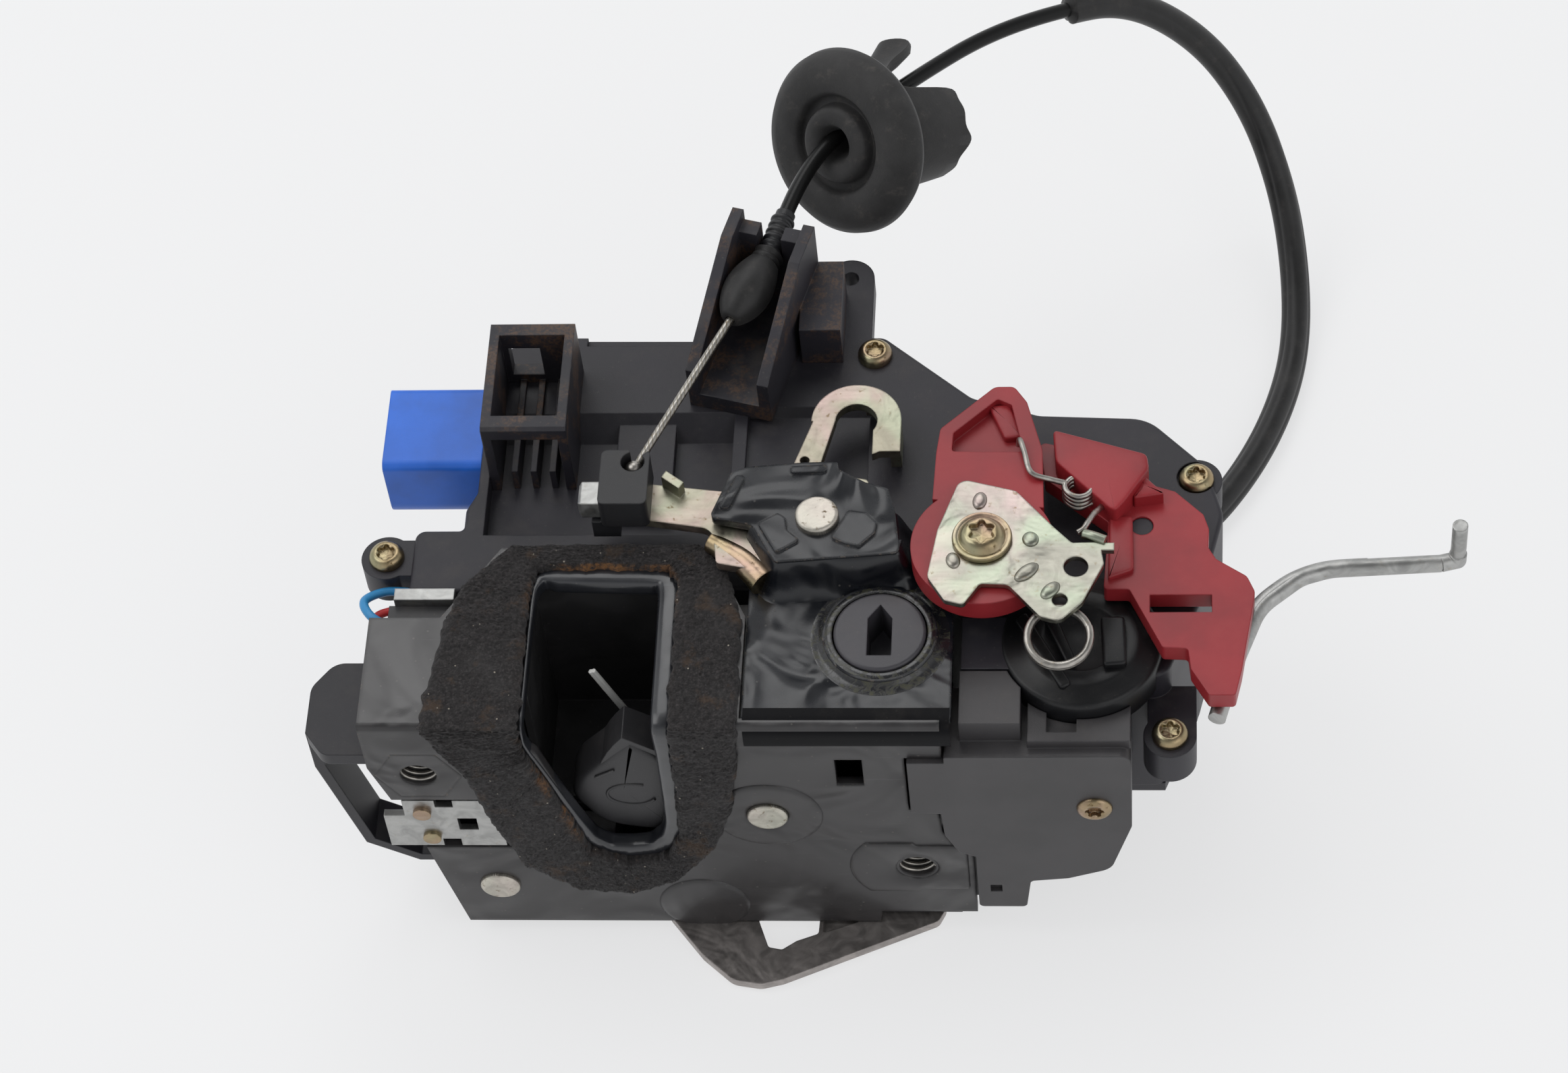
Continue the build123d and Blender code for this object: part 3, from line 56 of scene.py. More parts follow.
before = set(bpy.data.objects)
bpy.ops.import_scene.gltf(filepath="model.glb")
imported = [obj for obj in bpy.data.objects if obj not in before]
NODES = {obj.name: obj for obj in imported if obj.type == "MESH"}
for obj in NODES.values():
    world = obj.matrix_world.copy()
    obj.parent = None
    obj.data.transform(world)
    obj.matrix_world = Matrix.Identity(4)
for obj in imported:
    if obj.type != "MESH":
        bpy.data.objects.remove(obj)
CAD_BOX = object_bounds()
MM = 0.001
# heights over the right fixing hole, in mm
TOP = 47.4              # top flange
CAP_TOP = 55.4          # gloss cap
CABLE_HIGH = 57.2       # cable's wire, boot and ferrule
# the camera: turn, dip and roll in degrees, its place in mm, and its lens
CAMERA_ANGLES = (8.85272, 54.11558, -7.45440)
CAMERA_PLACE = (49.16343, -424.06846, 699.15940)
SENSOR_WIDE = 36.0
LENS_OVER_SENSOR = 6500.0 / 2324.0


# ------------------------------------------------------------ sizes and colours
def colour(name, words, value):
    return FloatVectorProperty(name=name, description=words, subtype="COLOR", size=3,
                               min=0.0, max=1.0, default=value)


def length(name, words, value, least=0.0):
    return FloatProperty(name=name, description=words, unit="LENGTH", min=least, default=value)


class LATCH_PG_paint(bpy.types.PropertyGroup):
    """Colours of the finishes."""
    housing: colour("Housing", "Charcoal plastic of the housing", (0.0205, 0.0190, 0.0250))
    cover: colour("Side cover", "Paler plastic of the side cover", (0.046, 0.043, 0.045))
    face: colour("Face plate", "Satin black paint of the face plate", (0.029, 0.027, 0.028))
    gloss: colour("Cap", "Gloss black paint of the cap and the plate under it", (0.006, 0.007, 0.010))
    foam: colour("Foam", "Brown-black foam round the mouth", (0.024, 0.021, 0.021))
    red: colour("Lock levers", "Dark red plastic of the lock levers", (0.300, 0.019, 0.025))
    blue: colour("Connector", "Blue plastic of the wiring connector", (0.022, 0.150, 0.680))
    zinc: colour("Plain zinc", "Blue-white zinc on rod and slider", (0.400, 0.400, 0.390))
    yellow_zinc: colour("Yellow zinc", "Pale yellow chromate on the release levers", (0.350, 0.325, 0.255))
    brass: colour("Screws", "Gold chromate on the screws", (0.330, 0.255, 0.150))
    rubber: colour("Rubber", "Grommet, boot and sleeve", (0.026, 0.025, 0.025))


class LATCH_PG_cable(bpy.types.PropertyGroup):
    """Sizes of the Bowden cable."""
    sheath: length("Sheath diameter", "Outside diameter of the cable's sheath", 0.003, 0.001)
    sleeve: length("Sleeve diameter", "Widest diameter of the ribbed sleeve", 0.006, 0.003)
    lobes: IntProperty(name="Sleeve ribs", description="Ribs round the sleeve", default=3, min=2, max=8)


class LATCH_PG_detail(bpy.types.PropertyGroup):
    """Sizes of the fine shapes."""
    emboss: length("Emboss height", "Height of the pressed pads on the face plate", 0.00045, 0.0001)
    thread_pitch: length("Thread pitch", "Pitch of the thread in the fixing holes", 0.00125, 0.0005)
    edge: length("Edge rounding", "Radius that softens the edges of every piece", 0.00035, 0.00005)
    foam_lump: length("Foam lumps", "Height of the lumps in the foam band", 0.00022)


# ------------------------------------------------------------ shader maths
class Maths:
    """Wraps a number socket, so that Python expressions add Math nodes."""

    def __init__(self, finish, socket):
        self.finish, self.socket = finish, socket

    def _node(self, operation, first, second, clamp=False):
        node = self.finish.add("ShaderNodeMath", {"operation": operation, "use_clamp": clamp},
                               {0: first, 1: second})
        return Maths(self.finish, node.outputs[0])

    def __add__(self, other):
        return self._node("ADD", self, other)

    def __sub__(self, other):
        return self._node("SUBTRACT", self, other)

    def __rsub__(self, other):
        return self._node("SUBTRACT", other, self)

    def __mul__(self, other):
        return self._node("MULTIPLY", self, other)

    def clamped(self):
        return self._node("ADD", self, 0.0, clamp=True)

    def over(self, low, high):
        """0 below low, 1 above high, smooth between."""
        node = self.finish.add("ShaderNodeMapRange", {"interpolation_type": "SMOOTHSTEP"},
                               {"Value": self, "From Min": low, "From Max": high})
        return Maths(self.finish, node.outputs[0])


class Finish:
    """One material. add() makes any node; the other methods name its patterns."""

    def __init__(self, name, metallic=0.0, specular=0.5, coat=0.0, coat_roughness=0.1, sheen=0.0):
        self.material = bpy.data.materials.new(name)
        self.material.use_nodes = True
        self.tree = self.material.node_tree
        self.tree.nodes.clear()
        self.shader = self.add("ShaderNodeBsdfPrincipled", {}, {
            "Metallic": metallic, "Specular IOR Level": specular, "Coat Weight": coat,
            "Coat Roughness": coat_roughness, "Sheen Weight": sheen})
        output = self.add("ShaderNodeOutputMaterial")
        self.tree.links.new(self.shader.outputs[0], output.inputs["Surface"])
        self.place = self.add("ShaderNodeTexCoord").outputs["Object"]

    def add(self, kind, settings=None, sockets=None):
        node = self.tree.nodes.new(kind)
        for key, value in (settings or {}).items():
            setattr(node, key, value)
        for key, value in (sockets or {}).items():
            self.feed(node.inputs[key], value)
        return node

    def feed(self, socket, value):
        if isinstance(value, Maths):
            value = value.socket
        if isinstance(value, bpy.types.NodeSocket):
            self.tree.links.new(value, socket)
        elif isinstance(value, tuple) and len(value) == 3 and socket.type == "RGBA":
            socket.default_value = (*value, 1.0)
        else:
            socket.default_value = value

    def stretched(self, scale, turn):
        """The piece's coordinates, turned and drawn out, for lines along the sheet."""
        return self.add("ShaderNodeMapping", {}, {"Vector": self.place, "Scale": scale,
                                                  "Rotation": turn}).outputs[0]

    def noise(self, per_mm, detail=3.0, roughness=0.55, vector=None, distortion=0.0):
        node = self.add("ShaderNodeTexNoise", {}, {
            "Vector": vector or self.place, "Scale": per_mm * 1000.0, "Detail": detail,
            "Roughness": roughness, "Distortion": distortion})
        return Maths(self, node.outputs[0])

    def cells(self, per_mm):
        node = self.add("ShaderNodeTexVoronoi", {}, {"Vector": self.place, "Scale": per_mm * 1000.0})
        return Maths(self, node.outputs["Distance"])

    def mix(self, factor, first, second):
        node = self.add("ShaderNodeMix", {"data_type": "RGBA"}, {0: factor, 6: first, 7: second})
        return node.outputs[2]

    def facing_up(self):
        """1 on faces that look up, 0 on walls and undersides."""
        normal = self.add("ShaderNodeNewGeometry").outputs["Normal"]
        split = self.add("ShaderNodeSeparateXYZ", {}, {0: normal})
        return Maths(self, split.outputs[2]).over(0.3, 0.95)

    def rounded(self, radius):
        """Normal that rolls over the edges, and how near an edge the point is."""
        bevel = self.add("ShaderNodeBevel", {"samples": 6}, {"Radius": radius})
        flat = self.add("ShaderNodeNewGeometry").outputs["Normal"]
        dot = self.add("ShaderNodeVectorMath", {"operation": "DOT_PRODUCT"},
                       {0: bevel.outputs[0], 1: flat})
        edge = (1.0 - Maths(self, dot.outputs["Value"])).over(0.01, 0.22)
        return bevel.outputs[0], edge

    def bump(self, height, strength, distance, normal=None):
        sockets = {"Height": height, "Strength": strength, "Distance": distance}
        if normal is not None:
            sockets["Normal"] = normal
        return self.add("ShaderNodeBump", {}, sockets).outputs[0]

    def finish(self, base, roughness, normal):
        self.feed(self.shader.inputs["Base Color"], base)
        self.feed(self.shader.inputs["Roughness"], roughness)
        self.feed(self.shader.inputs["Normal"], normal)
        return self.material


def scaled(value, factor):
    """A colour made darker or paler."""
    return tuple(min(1.0, part * factor) for part in value)


def moulded_plastic(name, base, edge, roughness, grain, dust, wear, rust=0.0, specular=0.45):
    """Moulded plastic: cloudy colour, fine spark-eroded grain, dust on top faces, paler rubbed edges, and
    where asked a rusty dust in patches."""
    f = Finish(name, specular=specular)
    rolled, near_edge = f.rounded(edge)
    cloud = f.noise(0.06, 4.0)
    fine = f.noise(6.0, 2.0)
    body = f.mix(cloud.over(0.3, 0.7), scaled(base, 0.82), scaled(base, 1.2))
    rubbed = near_edge * f.noise(0.5, 3.0).over(0.35, 0.75) * wear
    body = f.mix(rubbed, body, tuple(part * 0.6 + 0.09 for part in base))
    film = f.noise(0.12, 6.0, 0.65).over(0.46, 0.78) * f.facing_up() * dust
    specks = (1.0 - f.cells(0.55)).over(0.86, 0.95) * dust * 0.6
    body = f.mix((film * 0.35 + specks * 0.4).clamped(), body, (0.165, 0.145, 0.120))
    if rust:
        patch = f.noise(0.10, 7.0, 0.72).over(0.50, 0.62) * f.noise(1.6, 3.0, 0.7).over(0.30, 0.62)
        body = f.mix(patch * rust, body, (0.105, 0.058, 0.034))
    rough = (cloud - 0.5) * 0.14 + film * 0.18 + roughness - near_edge * 0.06
    return f.finish(body, rough.clamped(), f.bump(fine, grain, 0.00006, rolled))


def black_paint(name, base, edge, roughness, coat, dust, chips, top_gloss=0.0, wave=0.2):
    """Baked black paint on pressed steel: soft orange peel over a wavy sheet, smudges, dust, chipped edges,
    glossier on top."""
    f = Finish(name, coat=coat, coat_roughness=0.12)
    rolled, near_edge = f.rounded(edge)
    peel = f.noise(0.55, 2.0)
    smudge = f.noise(0.09, 5.0, 0.6, distortion=0.6)
    scratch = f.noise(1.2, 3.0, vector=f.stretched((0.08, 1.0, 1.0), (0.0, 0.0, 0.5)))
    body = f.mix(smudge.over(0.35, 0.7), scaled(base, 0.85), scaled(base, 1.25))
    body = f.mix(scratch.over(0.66, 0.74) * 0.25, body, scaled(base, 3.0))
    bare = near_edge * f.noise(0.9, 4.0).over(0.56, 0.68) * chips
    body = f.mix(bare, body, (0.20, 0.15, 0.11))
    specks = (1.0 - f.cells(0.42)).over(0.88, 0.95) * dust
    film = smudge.over(0.5, 0.8) * f.facing_up() * dust
    body = f.mix((specks * 0.5 + film * 0.10).clamped(), body, (0.21, 0.19, 0.17))
    rough = (smudge - 0.45) * 0.35 + roughness + specks * 0.3 + bare * 0.2
    if top_gloss:
        upper = f.facing_up()
        rough = rough - upper * 0.20 * top_gloss
        f.feed(f.shader.inputs["Coat Weight"], (upper * top_gloss + coat).clamped())
    sheet = f.bump(f.noise(0.045, 2.0, 0.5, distortion=0.8), wave, 0.006, rolled)
    return f.finish(body, rough.clamped(), f.bump(peel + specks * 0.5, 0.12, 0.00012, sheet))


def plated_steel(name, base, edge, roughness, rainbow, grime, warm=(0.32, 0.22, 0.10)):
    """Zinc-plated steel: chromate clouds, drawing lines, grime in a warm colour, and a rainbow where the
    plating is thick."""
    f = Finish(name, metallic=1.0)
    rolled, near_edge = f.rounded(edge)
    cloud = f.noise(0.22, 4.0, 0.6, distortion=1.2)
    drawn = f.noise(1.6, 2.0, vector=f.stretched((0.12, 1.0, 1.0), (0.0, 0.0, 0.9)))
    body = f.mix(cloud.over(0.3, 0.7), scaled(base, 0.8), scaled(base, 1.18))
    if rainbow:
        pink = f.noise(0.05, 3.0, 0.5, distortion=1.0).over(0.44, 0.66)
        green = f.noise(0.065, 3.0, 0.5, distortion=0.8).over(0.46, 0.66)
        body = f.mix(pink * rainbow, body, (0.70, 0.42, 0.47))
        body = f.mix(green * rainbow * 0.9, body, (0.46, 0.62, 0.42))
    spots = f.noise(0.7, 5.0, 0.7).over(0.58, 0.72) * grime
    body = f.mix(spots, body, warm)
    body = f.mix(near_edge * 0.35, body, scaled(base, 1.35))
    rough = (cloud - 0.5) * 0.22 + drawn * 0.10 + roughness + spots * 0.3
    sheet = f.bump(f.noise(0.07, 3.0, 0.5, distortion=0.8), 0.35, 0.0025, rolled)
    return f.finish(body, rough.clamped(), f.bump(drawn + cloud, 0.10, 0.00010, sheet))


def soft_rubber(name, base, edge, roughness, bloom, lump):
    """Rubber: dull skin with a pale bloom, mould marks and rubbed patches."""
    f = Finish(name, specular=0.35, sheen=0.05)
    rolled, near_edge = f.rounded(edge)
    cloud = f.noise(0.12, 5.0, 0.6)
    fine = f.noise(2.2, 4.0, 0.65)
    body = f.mix(cloud.over(0.35, 0.7), scaled(base, 0.8), scaled(base, 1.35))
    chalk = f.noise(0.35, 6.0, 0.7).over(0.52, 0.8) * bloom
    body = f.mix((chalk * 0.5 + near_edge * 0.2 * bloom).clamped(), body, (0.15, 0.13, 0.115))
    rough = (cloud - 0.5) * 0.2 + chalk * 0.2 + roughness
    return f.finish(body, rough.clamped(), f.bump(fine, lump, 0.00010, rolled))


def open_foam(name, base):
    """Open-cell foam: fine granules, dark in their hollows and paler on their tops as painted shade and
    painted light, a rusty dust and a few pale crumbs.
    """
    f = Finish(name, specular=0.25, sheen=0.1)
    grain = f.noise(1.5, 6.0, 0.78)
    pits = f.cells(1.9)
    cloud = f.noise(0.10, 4.0)
    # the granules' tone follows the bump's height: painted shade low down, painted light on top
    body = f.mix(grain.over(0.36, 0.66), scaled(base, 0.38), scaled(base, 2.3))
    # darker in the cell pattern of the pits: painted shade
    body = f.mix(pits.over(0.25, 0.6) * 0.5, body, scaled(base, 0.5))
    rust = f.noise(0.14, 6.0, 0.7).over(0.54, 0.68) * 0.5
    body = f.mix(rust, body, (0.085, 0.050, 0.028))
    body = f.mix(cloud.over(0.5, 0.8) * 0.35, body, (0.070, 0.066, 0.066))
    rim = f.add("ShaderNodeAttribute", {"attribute_name": "rim"})
    near = Maths(f, rim.outputs["Fac"]) * f.noise(0.16, 5.0, 0.7).over(0.44, 0.56)
    body = f.mix(near * f.noise(1.3, 3.0, 0.7).over(0.3, 0.6), body, (0.230, 0.105, 0.036))
    crumbs = (1.0 - f.cells(0.33)).over(0.93, 0.96)
    body = f.mix(crumbs * 0.7, body, (0.45, 0.40, 0.33))
    return f.finish(body, (grain * 0.25 + 0.62).clamped(), f.bump(grain + pits * 0.35, 0.85, 0.00030))


def greased(name, base, edge):
    """Gloss paint with a smear of old yellow grease on it."""
    f = Finish(name, coat=0.5, coat_roughness=0.15)
    rolled = f.rounded(edge)[0]
    smear = f.noise(0.4, 6.0, 0.7, distortion=1.5).over(0.47, 0.66)
    body = f.mix(smear * 0.55, base, (0.075, 0.072, 0.026))
    rough = smear * 0.3 + 0.26
    return f.finish(body, rough.clamped(), f.bump(smear + f.noise(1.5) * 0.4, 0.35, 0.0002, rolled))


# ------------------------------------------------------------ surfaces
def mesh_piece(name, points, faces, sharp=40.0):
    """Puts points (in mm) and faces into a new object, smooth except at sharp edges."""
    mesh = bpy.data.meshes.new(name)
    mesh.from_pydata((np.asarray(points, float) * MM).tolist(), [], faces)
    mesh.validate()
    mesh.shade_smooth()
    mesh.set_sharp_from_angle(angle=radians(sharp))
    piece = bpy.data.objects.new(name, mesh)
    bpy.context.scene.collection.objects.link(piece)
    return piece


def quads(rows, columns, wrap_rows=False, wrap_columns=True):
    """Faces of a grid of rows by columns points, as index quads."""
    r = np.arange(rows if wrap_rows else rows - 1)
    c = np.arange(columns if wrap_columns else columns - 1)
    r, c = np.meshgrid(r, c, indexing="ij")
    r2, c2 = (r + 1) % rows, (c + 1) % columns
    faces = np.stack([r * columns + c, r * columns + c2, r2 * columns + c2, r2 * columns + c], -1)
    return faces.reshape(-1, 4).tolist()


def grid_piece(name, grid, wrap_rows=False, wrap_columns=True, cap_first=False, cap_last=False, sharp=40.0):
    """A surface of (row, column) points; a cap closes the ring of the first or last row."""
    rows, columns = grid.shape[:2]
    faces = quads(rows, columns, wrap_rows, wrap_columns)
    if cap_first:
        faces.append(list(range(columns - 1, -1, -1)))
    if cap_last:
        faces.append(list(range((rows - 1) * columns, rows * columns)))
    return mesh_piece(name, grid.reshape(-1, 3), faces, sharp)


def unit(v):
    """The vector, or each row of vectors, at length 1."""
    v = np.asarray(v, float)
    return v / np.linalg.norm(v, axis=-1, keepdims=True)


def distances(line):
    """How far along a line each of its points is."""
    return np.concatenate([[0], np.cumsum(np.linalg.norm(np.diff(line, axis=0), axis=1))])


def placed_at(line, run, want):
    """The points at the wanted distances along a line; run holds its own points' distances."""
    return np.stack([np.interp(want, run, column) for column in line.T], 1)


def even_path(line, count):
    """The same line with count points at even spacing."""
    run = distances(line)
    return placed_at(line, run, np.linspace(0, run[-1], count))


def smooth_path(points, count):
    """Uniform Catmull-Rom curve through the points, which between b and c is half of
    2 b + (c - a) u + (2 a - 5 b + 4 c - d) u^2 + (3 b - a - 3 c + d) u^3, spaced evenly by length."""
    p = np.asarray(points, float)
    p = np.vstack([2 * p[0] - p[1], p, 2 * p[-1] - p[-2]])
    t = np.linspace(0, len(p) - 3 - 1e-9, 24 * len(p))
    k = t.astype(int)
    u = (t - k)[:, None]
    a, b, c, d = p[k], p[k + 1], p[k + 2], p[k + 3]
    line = 0.5 * (2 * b + (c - a) * u + (2 * a - 5 * b + 4 * c - d) * u ** 2
                  + (3 * b - a - 3 * c + d) * u ** 3)
    return even_path(line, count)


def tube(name, path, radius, sides, up=(0.0, 0.0, 1.0), profile=None, sharp=50.0):
    """A circle, or a profile of the angle, carried along a path square to its tangent."""
    path = np.asarray(path, float)
    tangent = unit(np.gradient(path, axis=0))
    side = unit(np.cross(tangent, np.asarray(up, float)))
    lift = np.cross(side, tangent)
    angle = np.linspace(0, 2 * pi, sides, endpoint=False)
    size = np.broadcast_to(np.asarray(radius, float), (len(path),))[:, None] * np.ones(sides)
    if profile is not None:
        size = size * profile(angle)[None, :]
    grid = path[:, None] + size[..., None] * (np.cos(angle)[None, :, None] * side[:, None]
                                              + np.sin(angle)[None, :, None] * lift[:, None])
    return grid_piece(name, grid, cap_first=True, cap_last=True, sharp=sharp)


def spun(name, profile, centre, axis, steps, sharp, shape=None, caps=True):
    """A profile of (radius, height) turned about an axis; shape changes each radius and height by angle."""
    centre, axis = np.asarray(centre, float), unit(axis)
    helper = np.array([0.0, 0.0, 1.0]) if abs(axis[2]) < 0.9 else np.array([1.0, 0.0, 0.0])
    side = unit(np.cross(helper, axis))
    other = np.cross(axis, side)
    profile = np.asarray(profile, float)
    angle = np.linspace(0, 2 * pi, steps, endpoint=False)
    r, h = profile[:, :1] * np.ones(steps), profile[:, 1:] * np.ones(steps)
    if shape is not None:
        r, h = shape(r, h, angle)
    grid = centre + r[..., None] * (np.cos(angle)[:, None] * side + np.sin(angle)[:, None] * other) \
        + h[..., None] * axis
    first, last = profile[[0, -1], 0] > 1e-6
    return grid_piece(name, grid, cap_first=caps and first, cap_last=caps and last, sharp=sharp)


def outline_normals(ring):
    """Outward unit normals of a closed ring of points in a plane, counter-clockwise."""
    along = unit(np.roll(ring, -1, 0) - np.roll(ring, 1, 0))
    return np.stack([along[:, 1], -along[:, 0]], 1)


def rounded_ring(corners, radius, per_corner):
    """A closed outline whose corners are arcs: quadratic curves through cut-back corners."""
    p = np.asarray(corners, float)
    radius = np.broadcast_to(np.asarray(radius, float), (len(p),))
    if np.sum(p[:, 0] * np.roll(p[:, 1], -1) - np.roll(p[:, 0], -1) * p[:, 1]) < 0:
        p, radius = p[::-1], radius[::-1]
    before, after = np.roll(p, 1, 0) - p, np.roll(p, -1, 0) - p
    lb, la = np.linalg.norm(before, axis=1), np.linalg.norm(after, axis=1)
    cut = np.minimum(radius, 0.48 * np.minimum(lb, la))
    a = p + before / lb[:, None] * cut[:, None]
    c = p + after / la[:, None] * cut[:, None]
    u = np.linspace(0, 1, per_corner)[None, :, None]
    arc = a[:, None] * (1 - u) ** 2 + 2 * p[:, None] * u * (1 - u) + c[:, None] * u ** 2
    return arc.reshape(-1, 2)


def rolled_rim(ring, low, high, edge):
    """Rings up the wall of a flat piece, which rises from low and rolls inwards over its top edge, and how
    high each ring is."""
    turn = np.linspace(0, pi / 2, 5)
    inset = np.concatenate([[0.0], edge * (1 - np.cos(turn))])
    rim = ring[None] - outline_normals(ring)[None] * inset[:, None, None]
    return rim, np.concatenate([[low], high - edge + edge * np.sin(turn)])


def pad(name, ring, low, high, edge, to_space):
    """A flat plate with a rolled top edge and a flat cap at either end."""
    rim, height = rolled_rim(ring, low, high, edge)
    grid = to_space(rim, np.broadcast_to(height[:, None], rim.shape[:2]))
    return grid_piece(name, grid, cap_first=True, cap_last=True, sharp=50.0)


def domed(name, ring, low, high, edge, crown, to_space, sharp=50.0):
    """A pad whose top is filled by shrinking the ring to its middle, rising by the crown on the way."""
    rim, height = rolled_rim(ring, low, high, edge)
    middle = rim[-1].mean(0)
    shrink = np.array([0.85, 0.65, 0.45, 0.25, 0.08, 0.001])
    top = middle + (rim[-1] - middle)[None] * shrink[:, None, None]
    flat = np.concatenate([rim, top])
    height = np.concatenate([height, high + crown * (1 - shrink ** 2)])
    grid = to_space(flat, np.broadcast_to(height[:, None], flat.shape[:2]))
    return grid_piece(name, grid, sharp=sharp)


def on_top(flat, height):
    """(x, y) and a height above the origin."""
    return np.concatenate([flat, height[..., None]], -1)


def on_face(flat, height):
    """(x, z) on the face plate and a height out of it."""
    return np.stack([flat[..., 0], -height, flat[..., 1]], -1)


def swelling(angle, degrees, wide, power=2):
    """1 at an angle in degrees, falling to 0 about wide radians to either side of it."""
    away = np.mod(angle - radians(degrees) + pi, 2 * pi) - pi
    return np.exp(-(away / wide) ** power)


FINISHES = {}


def dress(piece, finish, body="chassis", replaces=()):
    """Gives a piece its finish and its body, and hides the nodes it stands for."""
    piece.data.materials.clear()
    piece.data.materials.append(FINISHES[finish])
    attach(piece, body)
    if replaces:
        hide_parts(*replaces)
    return piece


# ------------------------------------------------------------ the route of the cable, and what it passes
BOOT_TIP, BOOT_NECK = (-34.9, 84.9, CABLE_HIGH), (-28.374, 100.307, CABLE_HIGH)
FERRULE_END = (-25.68, 110.35, CABLE_HIGH)
CABLE_ROUTE = [
    FERRULE_END, (-22.71, 121.46, 57.2), (-14.2, 134.0, 56.6), (-0.6, 148.2, 54.6), (11.0, 160.4, 51.4),
    (24.4, 170.0, 47.6), (38.6, 179.2, 41.2), (53.6, 182.4, 25.6), (64.2, 178.0, 9.6), (70.6, 167.6, -5.0),
    (73.2, 153.2, -15.0), (73.0, 137.6, -20.3), (69.4, 121.6, -20.3), (62.6, 106.0, -20.3),
    (52.6, 91.4, -20.3), (37.6, 80.6, -20.3), (18.6, 76.0, -20.3), (2.19, 72.03, -20.3),
    (-17.4, 76.4, -20.3), (-35.0, 80.0, -20.3)]
# where the ribbed sleeve starts and ends, as shares of the cable's length
SLEEVE_FROM, SLEEVE_TO = 0.249, 0.832
GROMMET_AT, GROMMET_AXIS = (-15.6, 128.4, 57.0), (0.58, 0.66, -0.48)


def make_plastics(c, edge):
    """Plastics, rubbers and foam. After the edge: roughness, grain, dust and wear of a plastic, and
    roughness, bloom and lumps of a rubber."""
    for key, name, base, *values in (
            ("housing", "charcoal_housing", c["housing"], 0.48, 0.4, 0.4, 0.5),
            ("guard", "guard_plastic", scaled(c["housing"], 0.7), 0.42, 0.3, 0.3, 0.4),
            ("cover", "grey_cover", c["cover"], 0.42, 0.35, 0.3, 0.4),
            ("red", "red_plastic", c["red"], 0.40, 0.25, 0.25, 0.25),
            ("blue", "blue_plastic", c["blue"], 0.36, 0.25, 0.22, 0.2),
            ("claw", "claw_coating", (0.030, 0.029, 0.031), 0.42, 0.4, 0.5, 0.4),
            ("block", "block_plastic", (0.016, 0.016, 0.018), 0.42, 0.3, 0.3, 0.4),
            ("disc", "dial_disc", (0.050, 0.047, 0.054), 0.38, 0.3, 0.45, 0.5),
            ("white", "pale_nylon", (0.72, 0.71, 0.68), 0.5, 0.2, 0.1, 0.0)):
        FINISHES[key] = moulded_plastic(name, base, edge, *values)
    for key, name, base, *values, specular in (
            ("sheath", "sheath_plastic", (0.006, 0.006, 0.006), 0.28, 0.15, 0.0, 0.0, 0.25),
            # the gear dome's plastic is darker than the housing's: painted shade for the shadow it lies in
            ("dial", "dome_plastic", (0.007, 0.007, 0.008), 0.36, 0.3, 0.3, 0.3, 0.35),
            # the darker, duller finish of the plate's top fold is painted shade
            ("shade", "dark_bend", (0.005, 0.005, 0.006), 0.45, 0.2, 0.2, 0.0, 0.08)):
        FINISHES[key] = moulded_plastic(name, base, edge, *values, specular=specular)
    for key, name, base, *values, rust in (
            ("frame", "frame_plastic", c["housing"], 0.5, 0.4, 0.9, 0.7, 0.8),
            ("bracket", "dusty_bracket", scaled(c["housing"], 1.1), 0.56, 0.5, 0.8, 0.8, 0.75)):
        FINISHES[key] = moulded_plastic(name, base, edge, *values, rust=rust)
    for key, base in (("blue_wire", (0.03, 0.22, 0.46)), ("red_wire", (0.5, 0.03, 0.03))):
        FINISHES[key] = moulded_plastic(key, base, edge * 0.3, 0.35, 0.1, 0.1, 0.0)
    for key, name, base, *values in (
            ("rubber", "grommet_rubber", c["rubber"], 0.60, 0.7, 0.5),
            ("boot", "boot_rubber", scaled(c["rubber"], 0.8), 0.48, 0.35, 0.3),
            ("sleeve", "sleeve_rubber", scaled(c["rubber"], 0.65), 0.42, 0.35, 0.25)):
        FINISHES[key] = soft_rubber(name, base, edge, *values)
    FINISHES["foam"] = open_foam("seal_foam", c["foam"])


def make_metals(c, edge):
    """Painted and plated steel. After the edge: roughness, coat, dust, chips, gloss on top and waves of a
    paint, and roughness, rainbow and grime of a plating, with the grime's colour where it isn't rust."""
    for key, name, base, soft, *values in (
            ("face", "face_paint", c["face"], edge * 3.0, 0.40, 0.1, 0.6, 0.5, 0.35, 0.6),
            ("gloss", "cap_paint", c["gloss"], edge * 2.2, 0.24, 0.05, 0.4, 0.6, 0.0, 1.0),
            ("liner", "liner_gloss", (0.030, 0.029, 0.030), edge, 0.42, 0.15, 0.3, 0.0),
            ("lip", "lip_plastic", (0.018, 0.019, 0.023), edge, 0.30, 0.5, 0.3, 0.0)):
        FINISHES[key] = black_paint(name, base, soft, *values)
    FINISHES["greased"] = greased("greased_ring", (0.010, 0.010, 0.012), edge)
    for key, name, base, soft, *values in (
            ("zinc", "plain_zinc", c["zinc"], edge, 0.36, 0.0, 0.25),
            ("yellow", "yellow_zinc", c["yellow_zinc"], edge, 0.36, 0.3, 0.7),
            ("rainbow", "rainbow_zinc", (0.33, 0.32, 0.275), edge, 0.28, 0.30, 0.5),
            ("silver", "grey_steel", (0.40, 0.37, 0.355), edge, 0.48, 0.0, 0.12, (0.2, 0.17, 0.15)),
            ("brass", "gold_screw", c["brass"], edge, 0.26, 0.25, 0.8, (0.13, 0.085, 0.035)),
            ("rivet", "worn_rivet", (0.50, 0.48, 0.42), edge, 0.38, 0.12, 0.9, (0.17, 0.12, 0.06)),
            ("spring", "spring_wire", (0.40, 0.38, 0.35), edge * 0.3, 0.30, 0.0, 0.45),
            ("strand", "wire_strand", (0.27, 0.245, 0.20), edge * 0.3, 0.48, 0.0, 0.7)):
        FINISHES[key] = plated_steel(name, base, soft, *values)


